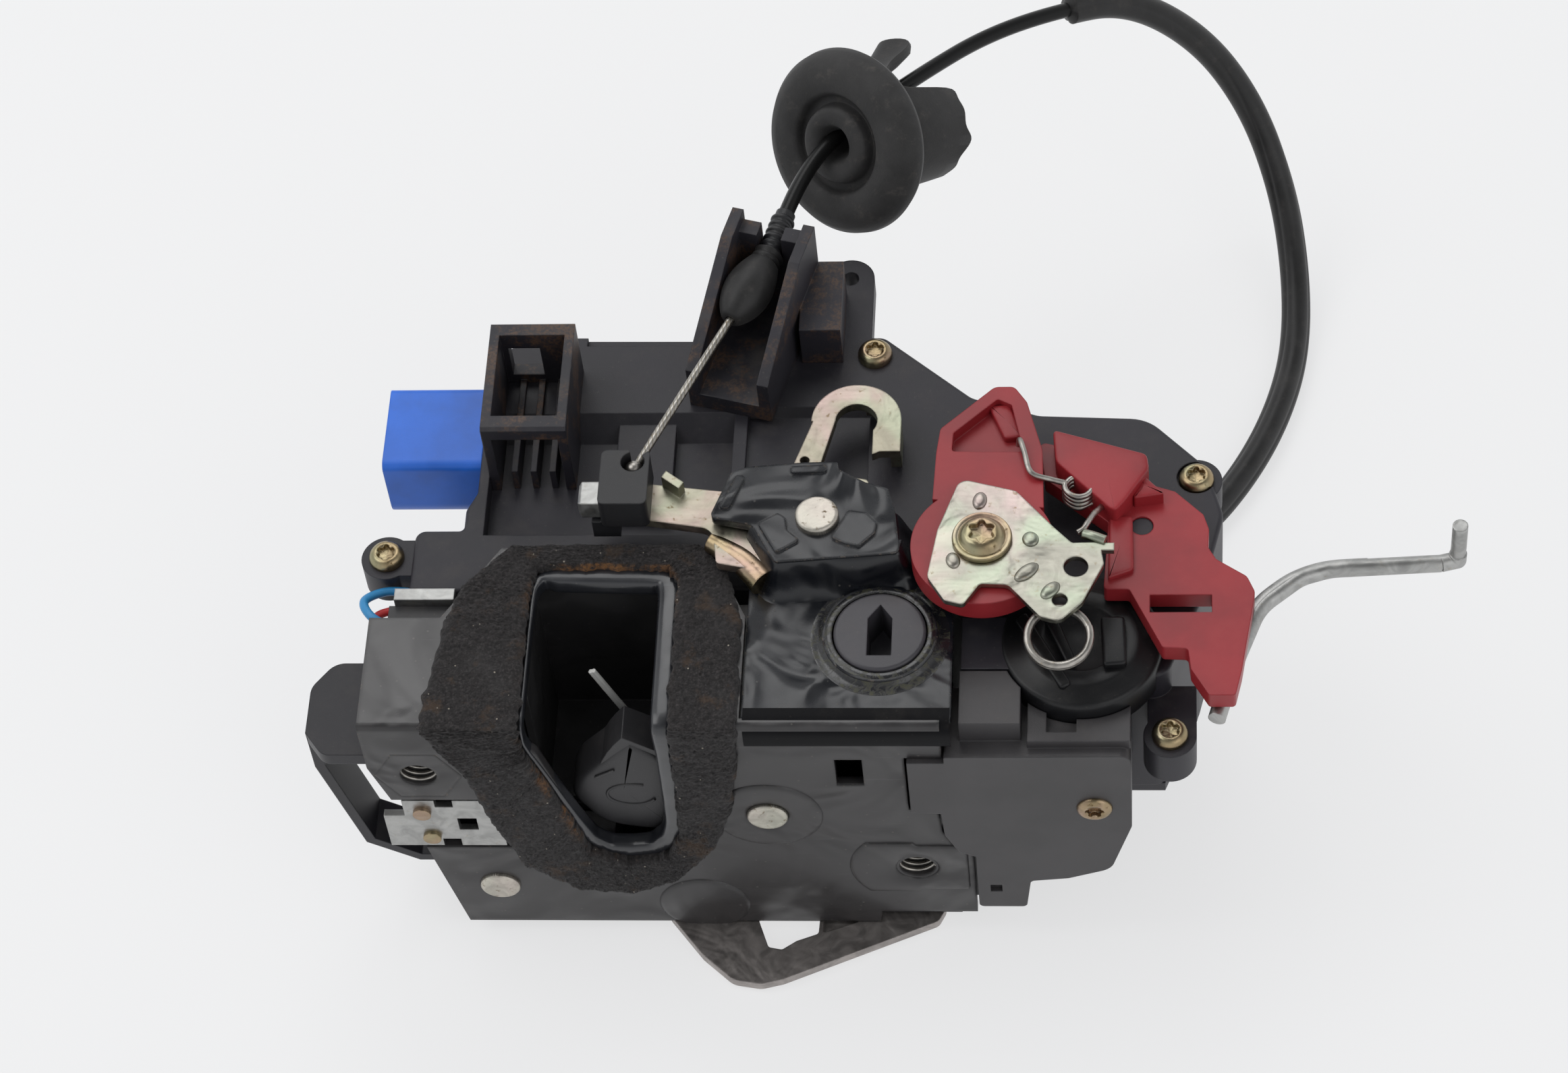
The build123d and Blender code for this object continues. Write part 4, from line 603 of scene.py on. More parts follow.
# finish: the nodes that wear it
WEARS = {
    "housing": "main_housing housing_back_cover lock_switch door_switch", "guard": "side_guard",
    "cover": "side_cover", "frame": "guide_frame", "bracket": "cable_bracket",
    "face": "latch_plate fixing_nut_right fixing_nut_left", "gloss": "support_plate",
    "liner": "mouth_liner", "foam": "mouth_seal", "red": "lock_lever lock_plate",
    "blue": "connector_shroud",
    "zinc": "lock_slider cable_stop_stub link_rod cable_end_fitting back_plate lock_motor gear_axle",
    "yellow": "hook_lever release_lever", "rainbow": "lock_bracket", "silver": "outer_release_lever",
    "brass": "housing_screws side_cover_screw lock_pivot_screw slider_rivets connector_pins "
             "motor_pinion",
    "rivet": "claw_rivet pawl_rivet lever_rivet outer_lever_rivet",
    "spring": "overcentre_spring ring_spring inner_wire claw_spring pawl_spring",
    "rubber": "grommet", "boot": "cable_boot", "sleeve": "cable_sleeve",
    "sheath": "cable_sheath cable_tail cable_ferrule",
    "claw": "rotary_claw pawl drive_gear latch_carrier", "block": "cable_end_block",
    "disc": "lock_follower", "blue_wire": "switch_wires"}


class LATCH_OT_finishes(bpy.types.Operator):
    """Makes every material and gives each solid its own"""
    bl_idname = "latch.finishes"
    bl_label = "Finishes"

    def execute(self, context):
        paint, edge = context.scene.latch_paint, context.scene.latch_detail.edge
        c = {key: tuple(getattr(paint, key)) for key in paint.__annotations__}
        make_plastics(c, edge)
        make_metals(c, edge)
        for finish, names in WEARS.items():
            for node in names.split():
                for slot in NODES[node].material_slots:
                    slot.material = FINISHES[finish]
        return {"FINISHED"}


def axes_matrix(right, up, back, place):
    """The matrix of an object with these three axes, at a place in metres."""
    m = np.eye(4)
    m[:3, 0], m[:3, 1], m[:3, 2], m[:3, 3] = right, up, back, place
    return Matrix(m.tolist())


def lay_floor(low, half=4.0):
    """A square sheet of pale paper under the lowest point."""
    corners = np.array([(-half, -half), (half, -half), (half, half), (-half, half)])
    floor = mesh_piece("floor", np.column_stack([corners, np.full(4, low)]) / MM, [[0, 1, 2, 3]])
    sheet = Finish("pale_floor", specular=0.25)
    cloud = sheet.noise(0.004, 3.0)
    paper = sheet.finish(sheet.mix(cloud, (0.88, 0.88, 0.885), (0.92, 0.92, 0.925)), cloud * 0.1 + 0.6,
                         sheet.bump(sheet.noise(0.3, 2.0), 0.03, 0.0003))
    # its shader is mixed with its own plain colour, for what the camera or a mirror sees of it
    path = sheet.add("ShaderNodeLightPath")
    seen = Maths(sheet, path.outputs["Is Camera Ray"]) + Maths(sheet, path.outputs["Is Glossy Ray"])
    seen = (seen + Maths(sheet, path.outputs["Is Transmission Ray"])).clamped()
    plain = sheet.add("ShaderNodeEmission", {}, {"Color": (0.90, 0.90, 0.905), "Strength": 1.0})
    mixed = sheet.add("ShaderNodeMixShader", {}, {0: seen * 0.72, 1: sheet.shader.outputs[0],
                                                  2: plain.outputs[0]})
    output = next(node for node in sheet.tree.nodes if node.type == "OUTPUT_MATERIAL")
    sheet.tree.links.new(mixed.outputs[0], output.inputs["Surface"])
    floor.data.materials.append(paper)


def light_sky(scene):
    """A pale world: one background lights the pieces, and another is what the camera, a mirror or glass
    sees. The second is dimmer overhead, so a mirror sees pale walls under a dim ceiling."""
    world = bpy.data.worlds.new("pale_sky")
    scene.world = world
    world.use_nodes = True
    tree = world.node_tree
    tree.nodes.clear()
    out, seen, lit, path, either, any_of, mixed, place, split, fade = (
        tree.nodes.new("ShaderNode" + kind)
        for kind in ("OutputWorld", "Background", "Background", "LightPath", "Math", "Math", "MixShader",
                     "TexCoord", "SeparateXYZ", "MapRange"))
    seen.inputs["Color"].default_value = (0.86, 0.87, 0.88, 1.0)
    lit.inputs["Color"].default_value = (0.95, 0.98, 1.0, 1.0)
    lit.inputs["Strength"].default_value = 0.55
    either.operation = any_of.operation = "MAXIMUM"
    for key, value in (("From Min", 0.25), ("From Max", 0.95), ("To Min", 1.0), ("To Max", 0.22)):
        fade.inputs[key].default_value = value
    for output, socket in (
            (path.outputs["Is Camera Ray"], either.inputs[0]),
            (path.outputs["Is Glossy Ray"], either.inputs[1]), (either.outputs[0], any_of.inputs[0]),
            (path.outputs["Is Transmission Ray"], any_of.inputs[1]),
            (any_of.outputs[0], mixed.inputs[0]), (lit.outputs[0], mixed.inputs[1]),
            (seen.outputs[0], mixed.inputs[2]), (mixed.outputs[0], out.inputs[0]),
            (place.outputs["Generated"], split.inputs[0]), (split.outputs["Z"], fade.inputs["Value"]),
            (fade.outputs[0], seen.inputs["Strength"])):
        tree.links.new(output, socket)


def set_camera(scene):
    """The camera: turned about the vertical, dipped, then rolled about its own line of sight."""
    turn, dip, roll = (radians(angle) for angle in CAMERA_ANGLES)
    right = np.array([cos(turn), sin(turn), 0.0])
    ahead = np.array([-sin(turn) * cos(dip), cos(turn) * cos(dip), -sin(dip)])
    up = np.cross(right, ahead)
    lens = bpy.data.cameras.new("camera")
    lens.sensor_fit, lens.sensor_width = "HORIZONTAL", SENSOR_WIDE
    lens.lens = LENS_OVER_SENSOR * SENSOR_WIDE
    lens.clip_start, lens.clip_end = 0.05, 20.0
    camera = bpy.data.objects.new("camera", lens)
    rolled_right = cos(roll) * right + sin(roll) * up
    rolled_up = cos(roll) * up - sin(roll) * right
    camera.matrix_world = axes_matrix(rolled_right, rolled_up, -ahead, np.array(CAMERA_PLACE) * MM)
    scene.collection.objects.link(camera)
    scene.camera = camera


class LATCH_OT_stage(bpy.types.Operator):
    """Sets the pale floor, the soft lamps, the sky and the camera"""
    bl_idname = "latch.stage"
    bl_label = "Stage"

    def execute(self, context):
        scene = context.scene
        set_camera(scene)
        lay_floor(CAD_BOX[0][2])
        # name, place in metres, width in metres and power in watts
        for name, place, size, power in (("key", (-0.75, 0.15, 1.15), 0.8, 4.4),
                                         ("fill", (0.8, -0.7, 0.9), 0.9, 2.3),
                                         ("back", (-0.12, 0.75, 1.0), 0.6, 2.6)):
            lamp = bpy.data.lights.new(name, "AREA")
            lamp.size, lamp.energy = size, power
            thing = bpy.data.objects.new(name, lamp)
            aim = unit(np.array([0.0, 0.06, 0.0]) - np.array(place))
            right = unit(np.cross(aim, (0.0, 0.0, 1.0)))
            thing.matrix_world = axes_matrix(right, np.cross(right, aim), -aim, place)
            scene.collection.objects.link(thing)
        light_sky(scene)
        scene.view_settings.view_transform = "Standard"
        return {"FINISHED"}

class LATCH_OT_cable(bpy.types.Operator):
    """Lays the Bowden cable's sheath and its ribbed sleeve"""
    bl_idname = "latch.cable"
    bl_label = "Cable"

    def execute(self, context):
        sizes = context.scene.latch_cable
        line = bpy.data.curves.new("bowden_sheath", "CURVE")
        line.dimensions = "3D"
        spline = line.splines.new("NURBS")
        spline.points.add(len(CABLE_ROUTE) - 1)
        for point, place in zip(spline.points, CABLE_ROUTE):
            point.co = (*(part * MM for part in place), 1.0)
        spline.order_u = 3
        spline.use_endpoint_u = True
        line.resolution_u = 16
        sheath = bpy.data.objects.new("bowden_sheath", line)
        context.scene.collection.objects.link(sheath)
        bare = bpy.data.meshes.new_from_object(sheath)
        path = np.array([v.co[:] for v in bare.vertices]) / MM
        bpy.data.meshes.remove(bare)
        line.bevel_depth, line.bevel_resolution, line.use_fill_caps = sizes.sheath / 2, 6, True
        run = distances(path)
        length = run[-1]
        dress(sheath, "sheath", replaces=("cable_sheath", "cable_tail"))
        want = np.linspace(SLEEVE_FROM * length, SLEEVE_TO * length, 260)
        lobes = sizes.lobes

        def ribbed(angle):
            return 0.84 + 0.19 * np.abs(np.cos(lobes * angle / 2 + 0.5)) ** 0.45
        # the sleeve swells a little at its ends, and its first and last rings turn in to the sheath
        swell = 1.0 + 0.015 * np.exp(-np.minimum(want - want[0], want[-1] - want) / 2.0)
        swell[[0, -1]] = 0.55
        sleeve = tube("ribbed_sleeve", placed_at(path, run, want), sizes.sleeve / 2 / MM * swell * 0.985, 60,
                      profile=ribbed, sharp=60)
        dress(sleeve, "sleeve", replaces=("cable_sleeve",))
        return {"FINISHED"}


class LATCH_OT_grommet(bpy.types.Operator):
    """Spins the rubber door grommet: flange, groove, hub and the torn tube behind it"""
    bl_idname = "latch.grommet"
    bl_label = "Grommet"

    def execute(self, context):
        hub = [(1.9, 4.0), (2.4, 1.0), (3.3, -1.6), (4.1, -2.9), (6.4, -3.1), (7.2, -2.7), (7.5, -1.9),
               (7.6, -0.8)]
        flange = [(8.0, -0.2), (9.1, -0.2), (9.6, -0.8), (9.8, -1.8), (10.4, -2.4), (14.6, -2.6),
                  (16.6, -1.6), (17.9, 0.2), (18.2, 1.9), (17.6, 3.2), (16.2, 3.5), (12.4, 3.6),
                  (11.2, 4.2), (10.5, 5.8), (10.7, 8.0), (11.6, 9.4)]
        behind = [(11.9, 11.5), (12.1, 15.0), (12.0, 19.0), (11.8, 22.6), (11.2, 23.2), (10.2, 22.8),
                  (10.0, 19.0), (9.9, 14.0), (9.6, 10.0), (8.6, 7.4), (4.0, 6.4), (1.9, 5.0)]
        root, reach = 9.4, 13.0

        def torn(r, h, angle):
            """The tube's length falls to a ragged notch on two sides, and its lips curl outwards."""
            rag = 0.05 * np.sin(7 * angle) + 0.04 * np.sin(13 * angle + 1.0)
            keep = 1.0 - 0.96 * swelling(angle, 92, 0.40, 4) - 0.5 * swelling(angle, 290, 0.60) + rag
            along = np.clip((h - root) / reach, 0, 1)
            curl = 1.0 + along ** 2 * (0.42 * swelling(angle, 42, 0.6) + 0.12 * swelling(angle, 165, 0.9))
            return r * np.where(h > root, curl, 1.0), np.where(h > root, root + (h - root) * keep, h)
        piece = spun("door_grommet", hub + flange + behind, GROMMET_AT, GROMMET_AXIS, 120, 55, torn)
        dress(piece, "rubber", replaces=("grommet",))
        return {"FINISHED"}


class LATCH_OT_boot(bpy.types.Operator):
    """Spins the teardrop boot over the inner wire and the ribbed ferrule behind it"""
    bl_idname = "latch.boot"
    bl_label = "Boot and ferrule"

    def execute(self, context):
        tip, neck, end = np.array(BOOT_TIP), np.array(BOOT_NECK), np.array(FERRULE_END)
        length = float(np.linalg.norm(neck - tip))
        t = np.linspace(0, 1, 40)
        # a drop-shaped belly, then three ripples over the last part of it
        belly = 1.7 + 2.95 * np.sin(pi * np.clip(t / 1.02, 0, 1) ** 0.86) ** 0.9
        ripples_from = 0.86
        ripples = 2.75 - 0.25 * np.cos((t - ripples_from) / (1.0 - ripples_from) * 3 * pi)
        belly = np.where(t > ripples_from, ripples, belly)
        profile = [(0.9, 1.0), (0.9, 0.0), (1.6, -0.1)] + list(zip(belly[1:], t[1:] * length))
        boot = spun("cable_boot_skin", profile + [(2.2, length + 0.6)], tip, unit(neck - tip), 48, 60)
        dress(boot, "boot", replaces=("cable_boot",))
        run = float(np.linalg.norm(end - neck))
        h = np.linspace(0, run, 90)
        wave = np.sin(h / run * 2 * pi * 6.5)
        ribs = 2.15 + 0.22 * np.sign(wave) * np.abs(wave) ** 0.5
        ribs = np.where(h > run - 1.5, 1.9, ribs)
        ferrule = spun("ribbed_ferrule", list(zip(ribs, h)) + [(1.62, run + 0.2)], neck, end - neck, 32, 60)
        dress(ferrule, "block", replaces=("cable_ferrule",))
        return {"FINISHED"}


def round_mouth(front, top, y=0.0):
    """A closed line round the mouth: (x, z) points on the face plate, then (x, y) points on the flange."""
    return [(x, y, z) for x, z in front] + [(x, back, TOP) for x, back in top]


def eased(field, times):
    """A field of random heights, averaged with its neighbours in both directions a few times."""
    for _ in range(times):
        for axis in (0, 1):
            field = (np.roll(field, 1, axis) + field + np.roll(field, -1, axis)) / 3.0
    return field


def mouth_loop(points, count=860):
    """A closed line through the points, each span eased a little at its ends, evenly shared out."""
    p = np.asarray(points, float)
    t = np.linspace(0, len(p), count, endpoint=False)
    p = np.vstack([p, p[:1]])
    k = t.astype(int)
    u = (t - k)[:, None]
    return p[k] + (p[k + 1] - p[k]) * (u * u * (3 - 2 * u) * 0.35 + u * 0.65)


def worn_round(line, times):
    """A closed line with its corners worn round, by averaging each point with its neighbours."""
    for _ in range(times):
        line = (np.roll(line, 1, 0) + 2.0 * line + np.roll(line, -1, 0)) / 4.0
    return line


def roll_lip():
    """The liner's rolled lip: a cross-section that stands on the plate, rolls over and runs down into the
    mouth, carried round the mouth's inner line with the way into the mouth worked out at each point."""
    line = [(-69.0, 10.0, TOP)] + round_mouth(
        [(-69.0, TOP), (-69.0, 42.4), (-68.4, 39.6), (-66.6, 33.6), (-62.9, 19.0), (-60.6, 9.6),
         (-57.6, 5.8), (-53.0, 4.9), (-48.2, 5.4), (-44.4, 9.4), (-43.1, 15.0), (-42.9, 26.0),
         (-42.8, 38.0), (-42.8, TOP)],
        [(-42.8, 12.0), (-42.9, 30.0), (-43.6, 32.6), (-46.2, 33.8), (-56.0, 34.0), (-66.0, 33.9),
         (-68.4, 32.8), (-69.0, 30.0), (-69.0, 20.0)], -0.2)
    right, left = (1, 0, 0), (-1, 0, 0)
    inward = [right] * 3 + [(1, 0, -0.1), (1, 0, -0.2), (1, 0, 0.2), (0.9, 0, 0.4), (0.5, 0, 0.85),
                            (0, 0, 1), (-0.4, 0, 0.9), (-0.9, 0, 0.4), (-1, 0, 0.1)] + [left] * 4
    inward += [(-1, -0.1, 0), (-0.9, -0.5, 0), (-0.4, -0.9, 0), (0, -1, 0), (0.4, -0.9, 0),
               (0.9, -0.5, 0)] + [right] * 2
    lift = [(0, 0, 1), (0, -0.7, 0.7)] + [(0, -1, 0)] * 12 + [(0, -0.7, 0.7)] + [(0, 0, 1)] * 9
    # how wide the rolled lip is at each point of the line
    wide = [0.5, 0.5, 0.5, 0.6, 0.7, 1.0, 1.6, 2.1, 2.4, 2.6, 2.8, 2.8, 2.7, 2.6, 2.8, 2.9, 3.0, 3.0, 2.9,
            2.7, 2.5, 1.6, 0.8, 0.5]
    path, into = worn_round(mouth_loop(line), 130), unit(worn_round(mouth_loop(inward), 60))
    over = unit(worn_round(mouth_loop(lift), 60))
    width = mouth_loop(np.column_stack([wide, wide, wide]))[:, :1]
    # (how far into the mouth in lip widths, height), from the foot over the roll to the skirt's end
    section = [(-0.3, -0.6), (-0.3, 0.10), (-0.15, 0.30), (0.05, 0.38), (0.30, 0.37), (0.55, 0.34),
               (0.74, 0.24), (0.88, 0.0), (0.97, -0.5), (1.01, -1.2), (1.03, -2.0), (1.05, -2.7),
               (1.0, -2.9), (0.9, -2.7), (0.5, -2.0)]
    rows = [path + into * width * a + over * (b * (0.7 + 0.12 * width)) for a, b in section]
    lip = grid_piece("mouth_lip", np.stack(rows).transpose(1, 0, 2)[:, ::-1], wrap_rows=True, sharp=60)
    dress(lip, "lip")


class LATCH_OT_seal(bpy.types.Operator):
    """Wraps the foam band round the mouth and lays the gloss rim inside it"""
    bl_idname = "latch.seal"
    bl_label = "Mouth seal"

    def execute(self, context):
        """The band is ins + (out - ins) t + lift h: t crosses it from the inner to the outer line, and h is
        its height, which falls off at both edges and is then roughened."""
        lump = context.scene.latch_detail.foam_lump / MM
        outer = round_mouth(
            [(-87.4, TOP), (-84.0, 40.5), (-80.5, 33.0), (-78.0, 18.0), (-73.4, 2.5), (-64.0, -6.0),
             (-53.5, -7.2), (-44.8, -2.4), (-36.8, 9.2), (-32.6, 23.3), (-30.9, 36.0), (-29.9, TOP)],
            [(-30.2, 22.5), (-33.0, 33.5), (-38.2, 38.9), (-56.0, 39.1), (-73.8, 38.9), (-82.0, 30.0),
             (-84.4, 22.5)])
        inner = round_mouth(
            [(-69.3, TOP), (-69.3, 42.6), (-68.7, 39.6), (-66.7, 33.0), (-62.7, 18.0), (-60.3, 8.0),
             (-53.6, 4.2), (-46.0, 6.4), (-43.3, 13.0), (-42.7, 24.0), (-42.5, 36.0), (-42.3, TOP)],
            [(-42.3, 20.0), (-42.5, 31.0), (-44.2, 33.8), (-56.0, 34.2), (-68.2, 34.0), (-69.3, 28.0),
             (-69.3, 18.0)])
        lift = [(0, -1, 1)] + [(0, -1, 0)] * 10 + [(0, -1, 1)] + [(0, 0, 1)] * 7
        out, ins, lift = mouth_loop(outer), mouth_loop(inner), unit(mouth_loop(lift))
        t = np.concatenate([[0.0, 0.0, 0.012, 0.03], np.linspace(0.055, 0.945, 38), [0.97, 0.99, 1.0, 1.0]])
        h = np.interp(t, [0.0, 0.02, 0.07, 0.16, 0.84, 0.93, 0.98, 1.0],
                      [1.3, 1.8, 2.1, 2.2, 2.2, 2.1, 1.7, 1.0])
        h[[0, -1]] = 0.0
        grid = ins[None] + (out - ins)[None] * t[:, None, None] + lift[None] * h[:, None, None]
        rng = np.random.default_rng(7)
        rough = rng.normal(0.0, 0.42, grid.shape[:2]) + eased(rng.normal(0.0, 1.0, grid.shape[:2]), 2)
        rough += eased(rng.normal(0.0, 1.0, grid.shape[:2]), 8) * 1.2
        torn = eased(np.tile(rng.normal(0.0, 1.0, grid.shape[1]), (3, 1)), 2)[1] * 1.8
        edge = np.exp(-(t / 0.07) ** 2) - np.exp(-((t - 1.0) / 0.07) ** 2)
        grid = grid + lift[None] * (rough * lump * (h > 1.0)[:, None])[..., None]
        grid = grid + unit(out - ins)[None] * (edge[:, None] * torn[None] * lump * 0.9)[..., None]
        seal = grid_piece("foam_seal", grid.transpose(1, 0, 2), wrap_rows=True, wrap_columns=False, sharp=80)
        # how rusty the inner edge is: most at the top right corner of the mouth, and some at its left
        rim = seal.data.attributes.new("rim", "FLOAT", "POINT")
        place = np.linspace(0.0, len(inner), grid.shape[1], endpoint=False)[:, None]
        rusty = np.exp(-((place - 15.0) / 1.9) ** 2) + 0.8 * np.exp(-((place - 3.4) / 1.1) ** 2)
        rim.data.foreach_set("value", (rusty * np.exp(-(t / 0.055) ** 2)).ravel())
        dress(seal, "foam", replaces=("mouth_seal",))
        roll_lip()
        return {"FINISHED"}

def press_fixing_pad(high):
    """A pad round the right fixing hole: a half circle on the left, carried to the plate's edge on the
    right and cut off above and below, with the hole left open."""
    hole, half_circle, right_edge, right_half, half_tall = 3.9, 12.6, 9.6, 7.6, 8.4
    angle = np.linspace(0, 2 * pi, 120, endpoint=False)
    way = np.stack([np.cos(angle), np.sin(angle)], 1)
    across, along = np.maximum(np.abs(way), 1e-3).T
    reach = np.minimum(right_edge / across, right_half / along)
    reach = np.where(way[:, 0] > 0, np.minimum(reach, half_circle), half_circle)
    rim = np.minimum(reach, half_tall / along)[:, None] * way
    rows = [on_face(hole * way * (1 - t) + rim * t, np.full(120, h))
            for t, h in ((0.0, -0.3), (0.0, 0.1), (0.08, high), (0.90, high), (0.96, high * 0.8),
                         (1.0, 0.03), (1.0, -0.3))]
    piece = grid_piece("fixing_pad", np.stack(rows)[::-1], wrap_rows=True, sharp=60)
    dress(piece, "face")


class LATCH_OT_face(bpy.types.Operator):
    """Presses the pads into the face plate, cuts the threads and sets the rivet heads"""
    bl_idname = "latch.face"
    bl_label = "Face plate details"

    def execute(self, context):
        detail = context.scene.latch_detail
        high, pitch = detail.emboss / MM, detail.thread_pitch / MM
        out = (0, -1, 0)
        for name, (x, z), inner, outer in (("claw_rivet_pad", (-26.6, 18.2), 3.9, 10.2),
                                           ("pawl_rivet_pad", (-41.0, -13.4), 0.0, 8.6)):
            middle = [(0.001, high)]
            if inner:
                middle = [(inner, 0.02), (inner + 0.4, high * 0.7), (inner + 1.0, high)]
            foot = [(outer - 1.2, high), (outer - 0.5, high * 0.8), (outer, 0.05), (outer + 0.1, -0.3)]
            dress(spun(name, (middle + foot)[::-1], (x, 0.0, z), out, 72, 60), "face")
        press_fixing_pad(high)
        # a dark tab set behind the gap beside the side cover is painted shade: it keeps the gap dark
        gap = np.array([(8.6, 4.4), (12.6, 4.4), (12.6, -11.8), (8.6, -12.2)])
        behind = pad("gap_shade_tab", rounded_ring(gap, 0.4, 3), -2.6, -1.0, 0.2, on_face)
        dress(behind, "block")
        turn = np.linspace(0, 2 * pi * 6.4, 420)
        grip = 3.4
        for name, (x, z) in (("right_thread", (0.0, 0.0)), ("left_thread", (-89.5, 31.5))):
            deep = 0.5 + turn / (2 * pi) * pitch
            path = np.stack([x + grip * np.cos(turn), deep, z + grip * np.sin(turn)], 1)
            dress(tube(name, path, 0.36, 8, up=(0, 1, 0)), "spring")
        head = [(3.75, -0.2), (3.75, 0.5), (3.55, 0.85), (3.1, 1.0), (2.6, 0.86), (2.2, 0.84), (1.4, 0.92),
                (0.0, 0.95)]
        for name, (x, z) in (("claw_rivet_head", (-26.6, 18.2)), ("pawl_rivet_head", (-79.2, -6.5))):
            dress(spun(name, head, (x, 0.0, z), out, 48, 60), "rivet")
        return {"FINISHED"}

def draw_ramp():
    """The sheet in front of the cap: it falls from the cap's edge to the plate along half a cosine wave,
    (1 - cos(pi t)) / 2, while t goes from 0 at the edge to 1 at its foot."""
    upper = [(-28.6, 38.7), (-25.4, 33.0), (-23.8, 30.5), (-1.5, 32.5), (-2.2, 38.0), (-2.6, 41.6)]
    upper = even_path(np.array(upper), 90)
    along = unit(np.gradient(upper, axis=0))
    out = np.stack([along[:, 1], -along[:, 0]], 1)
    for _ in range(6):
        out[1:-1] = unit(out[:-2] + out[1:-1] * 2 + out[2:])
    rows = []
    for t in np.linspace(0.0, 1.0, 15):
        drop = (1 - np.cos(pi * t)) / 2 * (CAP_TOP - TOP - 0.05)
        flat = upper + out * (-0.5 + 4.6 * t)
        rows.append(np.column_stack([flat, np.full(90, CAP_TOP - 0.12 - drop)]))
    ramp = grid_piece("cap_ramp", np.stack(rows)[:, ::-1], wrap_columns=False, sharp=70)
    dress(ramp, "gloss")


class LATCH_OT_cap(bpy.types.Operator):
    """Heads the cap's rivet, rings the notched dial, folds the plate's edge in a dark band of painted shade
    and draws the cap's front down
    """
    bl_idname = "latch.cap"
    bl_label = "Cap and fold"

    def execute(self, context):
        head = [(4.0, -0.4), (4.0, 0.7), (3.8, 1.15), (3.4, 1.4), (2.9, 1.44), (2.3, 1.36), (1.2, 1.42),
                (0.0, 1.45)]
        rivet = spun("cap_rivet_head", head, (-16.7, 40.3, CAP_TOP + 0.06), (0, 0, 1), 56, 60)
        dress(rivet, "rivet")
        ring = [(8.6, -0.1), (8.65, 1.5), (9.1, 1.62), (9.8, 1.55), (10.35, 1.2), (10.9, 0.5), (11.7, 0.12),
                (12.6, 0.03)]
        dress(spun("follower_ring", ring[::-1], (-4.9, 19.4, TOP), (0, 0, 1), 96, 60, caps=False), "greased")
        # (y, height over the top flange) round the plate's top fold
        bend = [(4.2, 0.03), (2.4, 0.08), (1.2, -0.1), (0.4, -0.6), (-0.1, -1.5), (-0.3, -2.8), (-0.3, -5.2),
                (-0.12, -5.9), (0.2, -6.1)]
        bend = even_path(smooth_path([(y, TOP + z, 0.0) for y, z in bend], 60)[:, :2], 40)
        x = np.linspace(-29.0, 8.0, 60)
        fold = np.stack([np.column_stack([x, np.full(60, y), np.full(60, z)]) for y, z in bend])
        # the band wears the darker, duller finish: painted shade on the fold
        dress(grid_piece("fold_band", fold, wrap_columns=False, sharp=70), "shade")
        lobe = smooth_path([(-36.4, 38.4, 50.6), (-33.6, 36.6, 50.6), (-30.4, 34.2, 50.5),
                            (-27.6, 31.4, 50.2), (-26.2, 29.8, 50.0)], 40)
        roll = tube("lever_roll", lobe, np.linspace(2.0, 2.9, 40), 28)
        dress(roll, "brass", "release")
        draw_ramp()
        return {"FINISHED"}

class LATCH_OT_throat(bpy.types.Operator):
    """Rounds the claw's coating in the mouth and closes the mouth under it with a dark sheet of painted shade
    """
    bl_idname = "latch.throat"
    bl_label = "Claw and throat"

    def execute(self, context):
        outline = rounded_ring([(-63.4, 18.6), (-61.2, 24.6), (-57.4, 29.0), (-53.6, 33.4), (-50.6, 36.4),
                                (-44.0, 31.0), (-43.4, 6.8), (-50.0, 6.6), (-58.2, 8.8)],
                               [3, 2, 2, 2, 1, 3, 2, 3, 5], 7)
        coating = domed("claw_coating", outline, -11.2, -3.6, 1.6, 0.5, on_face, 70)
        dress(coating, "claw", "claw")
        turn = np.linspace(radians(60), radians(330), 60)
        arc = np.stack([-51.6 + 4.6 * np.cos(turn), np.full(60, 3.2), 20.2 + 3.4 * np.sin(turn)], 1)
        dress(tube("claw_arc", arc, 0.32, 8, up=(0, 1, 0)), "claw", "claw")
        # a dark rod laid on the coating stands for the shade in the claw's slit: painted shade
        slit = even_path(np.array([(-57.9, 3.4, 25.6), (-54.2, 3.3, 28.2)]), 8)
        dress(tube("claw_slit_shade", slit, 0.28, 8, up=(0, 1, 0)), "liner", "claw")
        leg = even_path(np.array([(-58.6, 20.0, 35.8), (-53.2, 20.0, 21.0)]), 20)
        leg = tube("claw_spring_leg", leg, 0.75, 12, up=(0, 1, 0),
                   profile=lambda angle: 0.45 + 0.55 * np.abs(np.cos(angle)))
        dress(leg, "white")
        # the dark sheet, painted shade, lies between the plate and the claw, and its front and back edges
        # turn down
        x = np.linspace(-62.0, -43.4, 20)
        rows = [np.column_stack([x, np.full(20, 1.0 + 1.9 * t), np.full(20, z)])
                for t, z in ((0.0, 5.4), (0.1, 5.9), (0.9, 5.9), (1.0, 5.4))]
        dress(grid_piece("throat_shade_sheet", np.stack(rows), wrap_columns=False), "liner")
        return {"FINISHED"}


def detail_stamping():
    """The oval pips and the tab of the plated stamping."""
    profile = [(1.0, -0.2), (1.0, 0.06), (0.92, 0.34), (0.74, 0.52), (0.4, 0.6), (0.0, 0.62)]
    # x, y, half length, half width and turn in degrees
    pips = ((12.9, 42.4, 1.9, 1.3, -10), (22.2, 33.8, 1.6, 1.5, 20), (8.4, 29.2, 1.7, 1.3, 15),
            (21.6, 26.6, 2.7, 1.35, -48), (25.9, 22.6, 2.2, 1.3, -42))
    for k, (x, y, long, wide, turn) in enumerate(pips):
        def oval(r, h, angle):
            away = angle - radians(turn)
            return r / np.sqrt((np.cos(away) / long) ** 2 + (np.sin(away) / wide) ** 2), h
        pip = spun(f"bracket_pip_{k}", profile, (x, y, 57.42), (0, 0, 1), 32, 60, oval)
        dress(pip, "rainbow", "lock")
    tab = smooth_path([(31.8, 35.2, 57.0), (33.4, 34.4, 57.4), (35.6, 33.5, 57.3)], 20)
    dress(tube("spring_tab", tab, 1.0, 16), "rainbow", "lock")


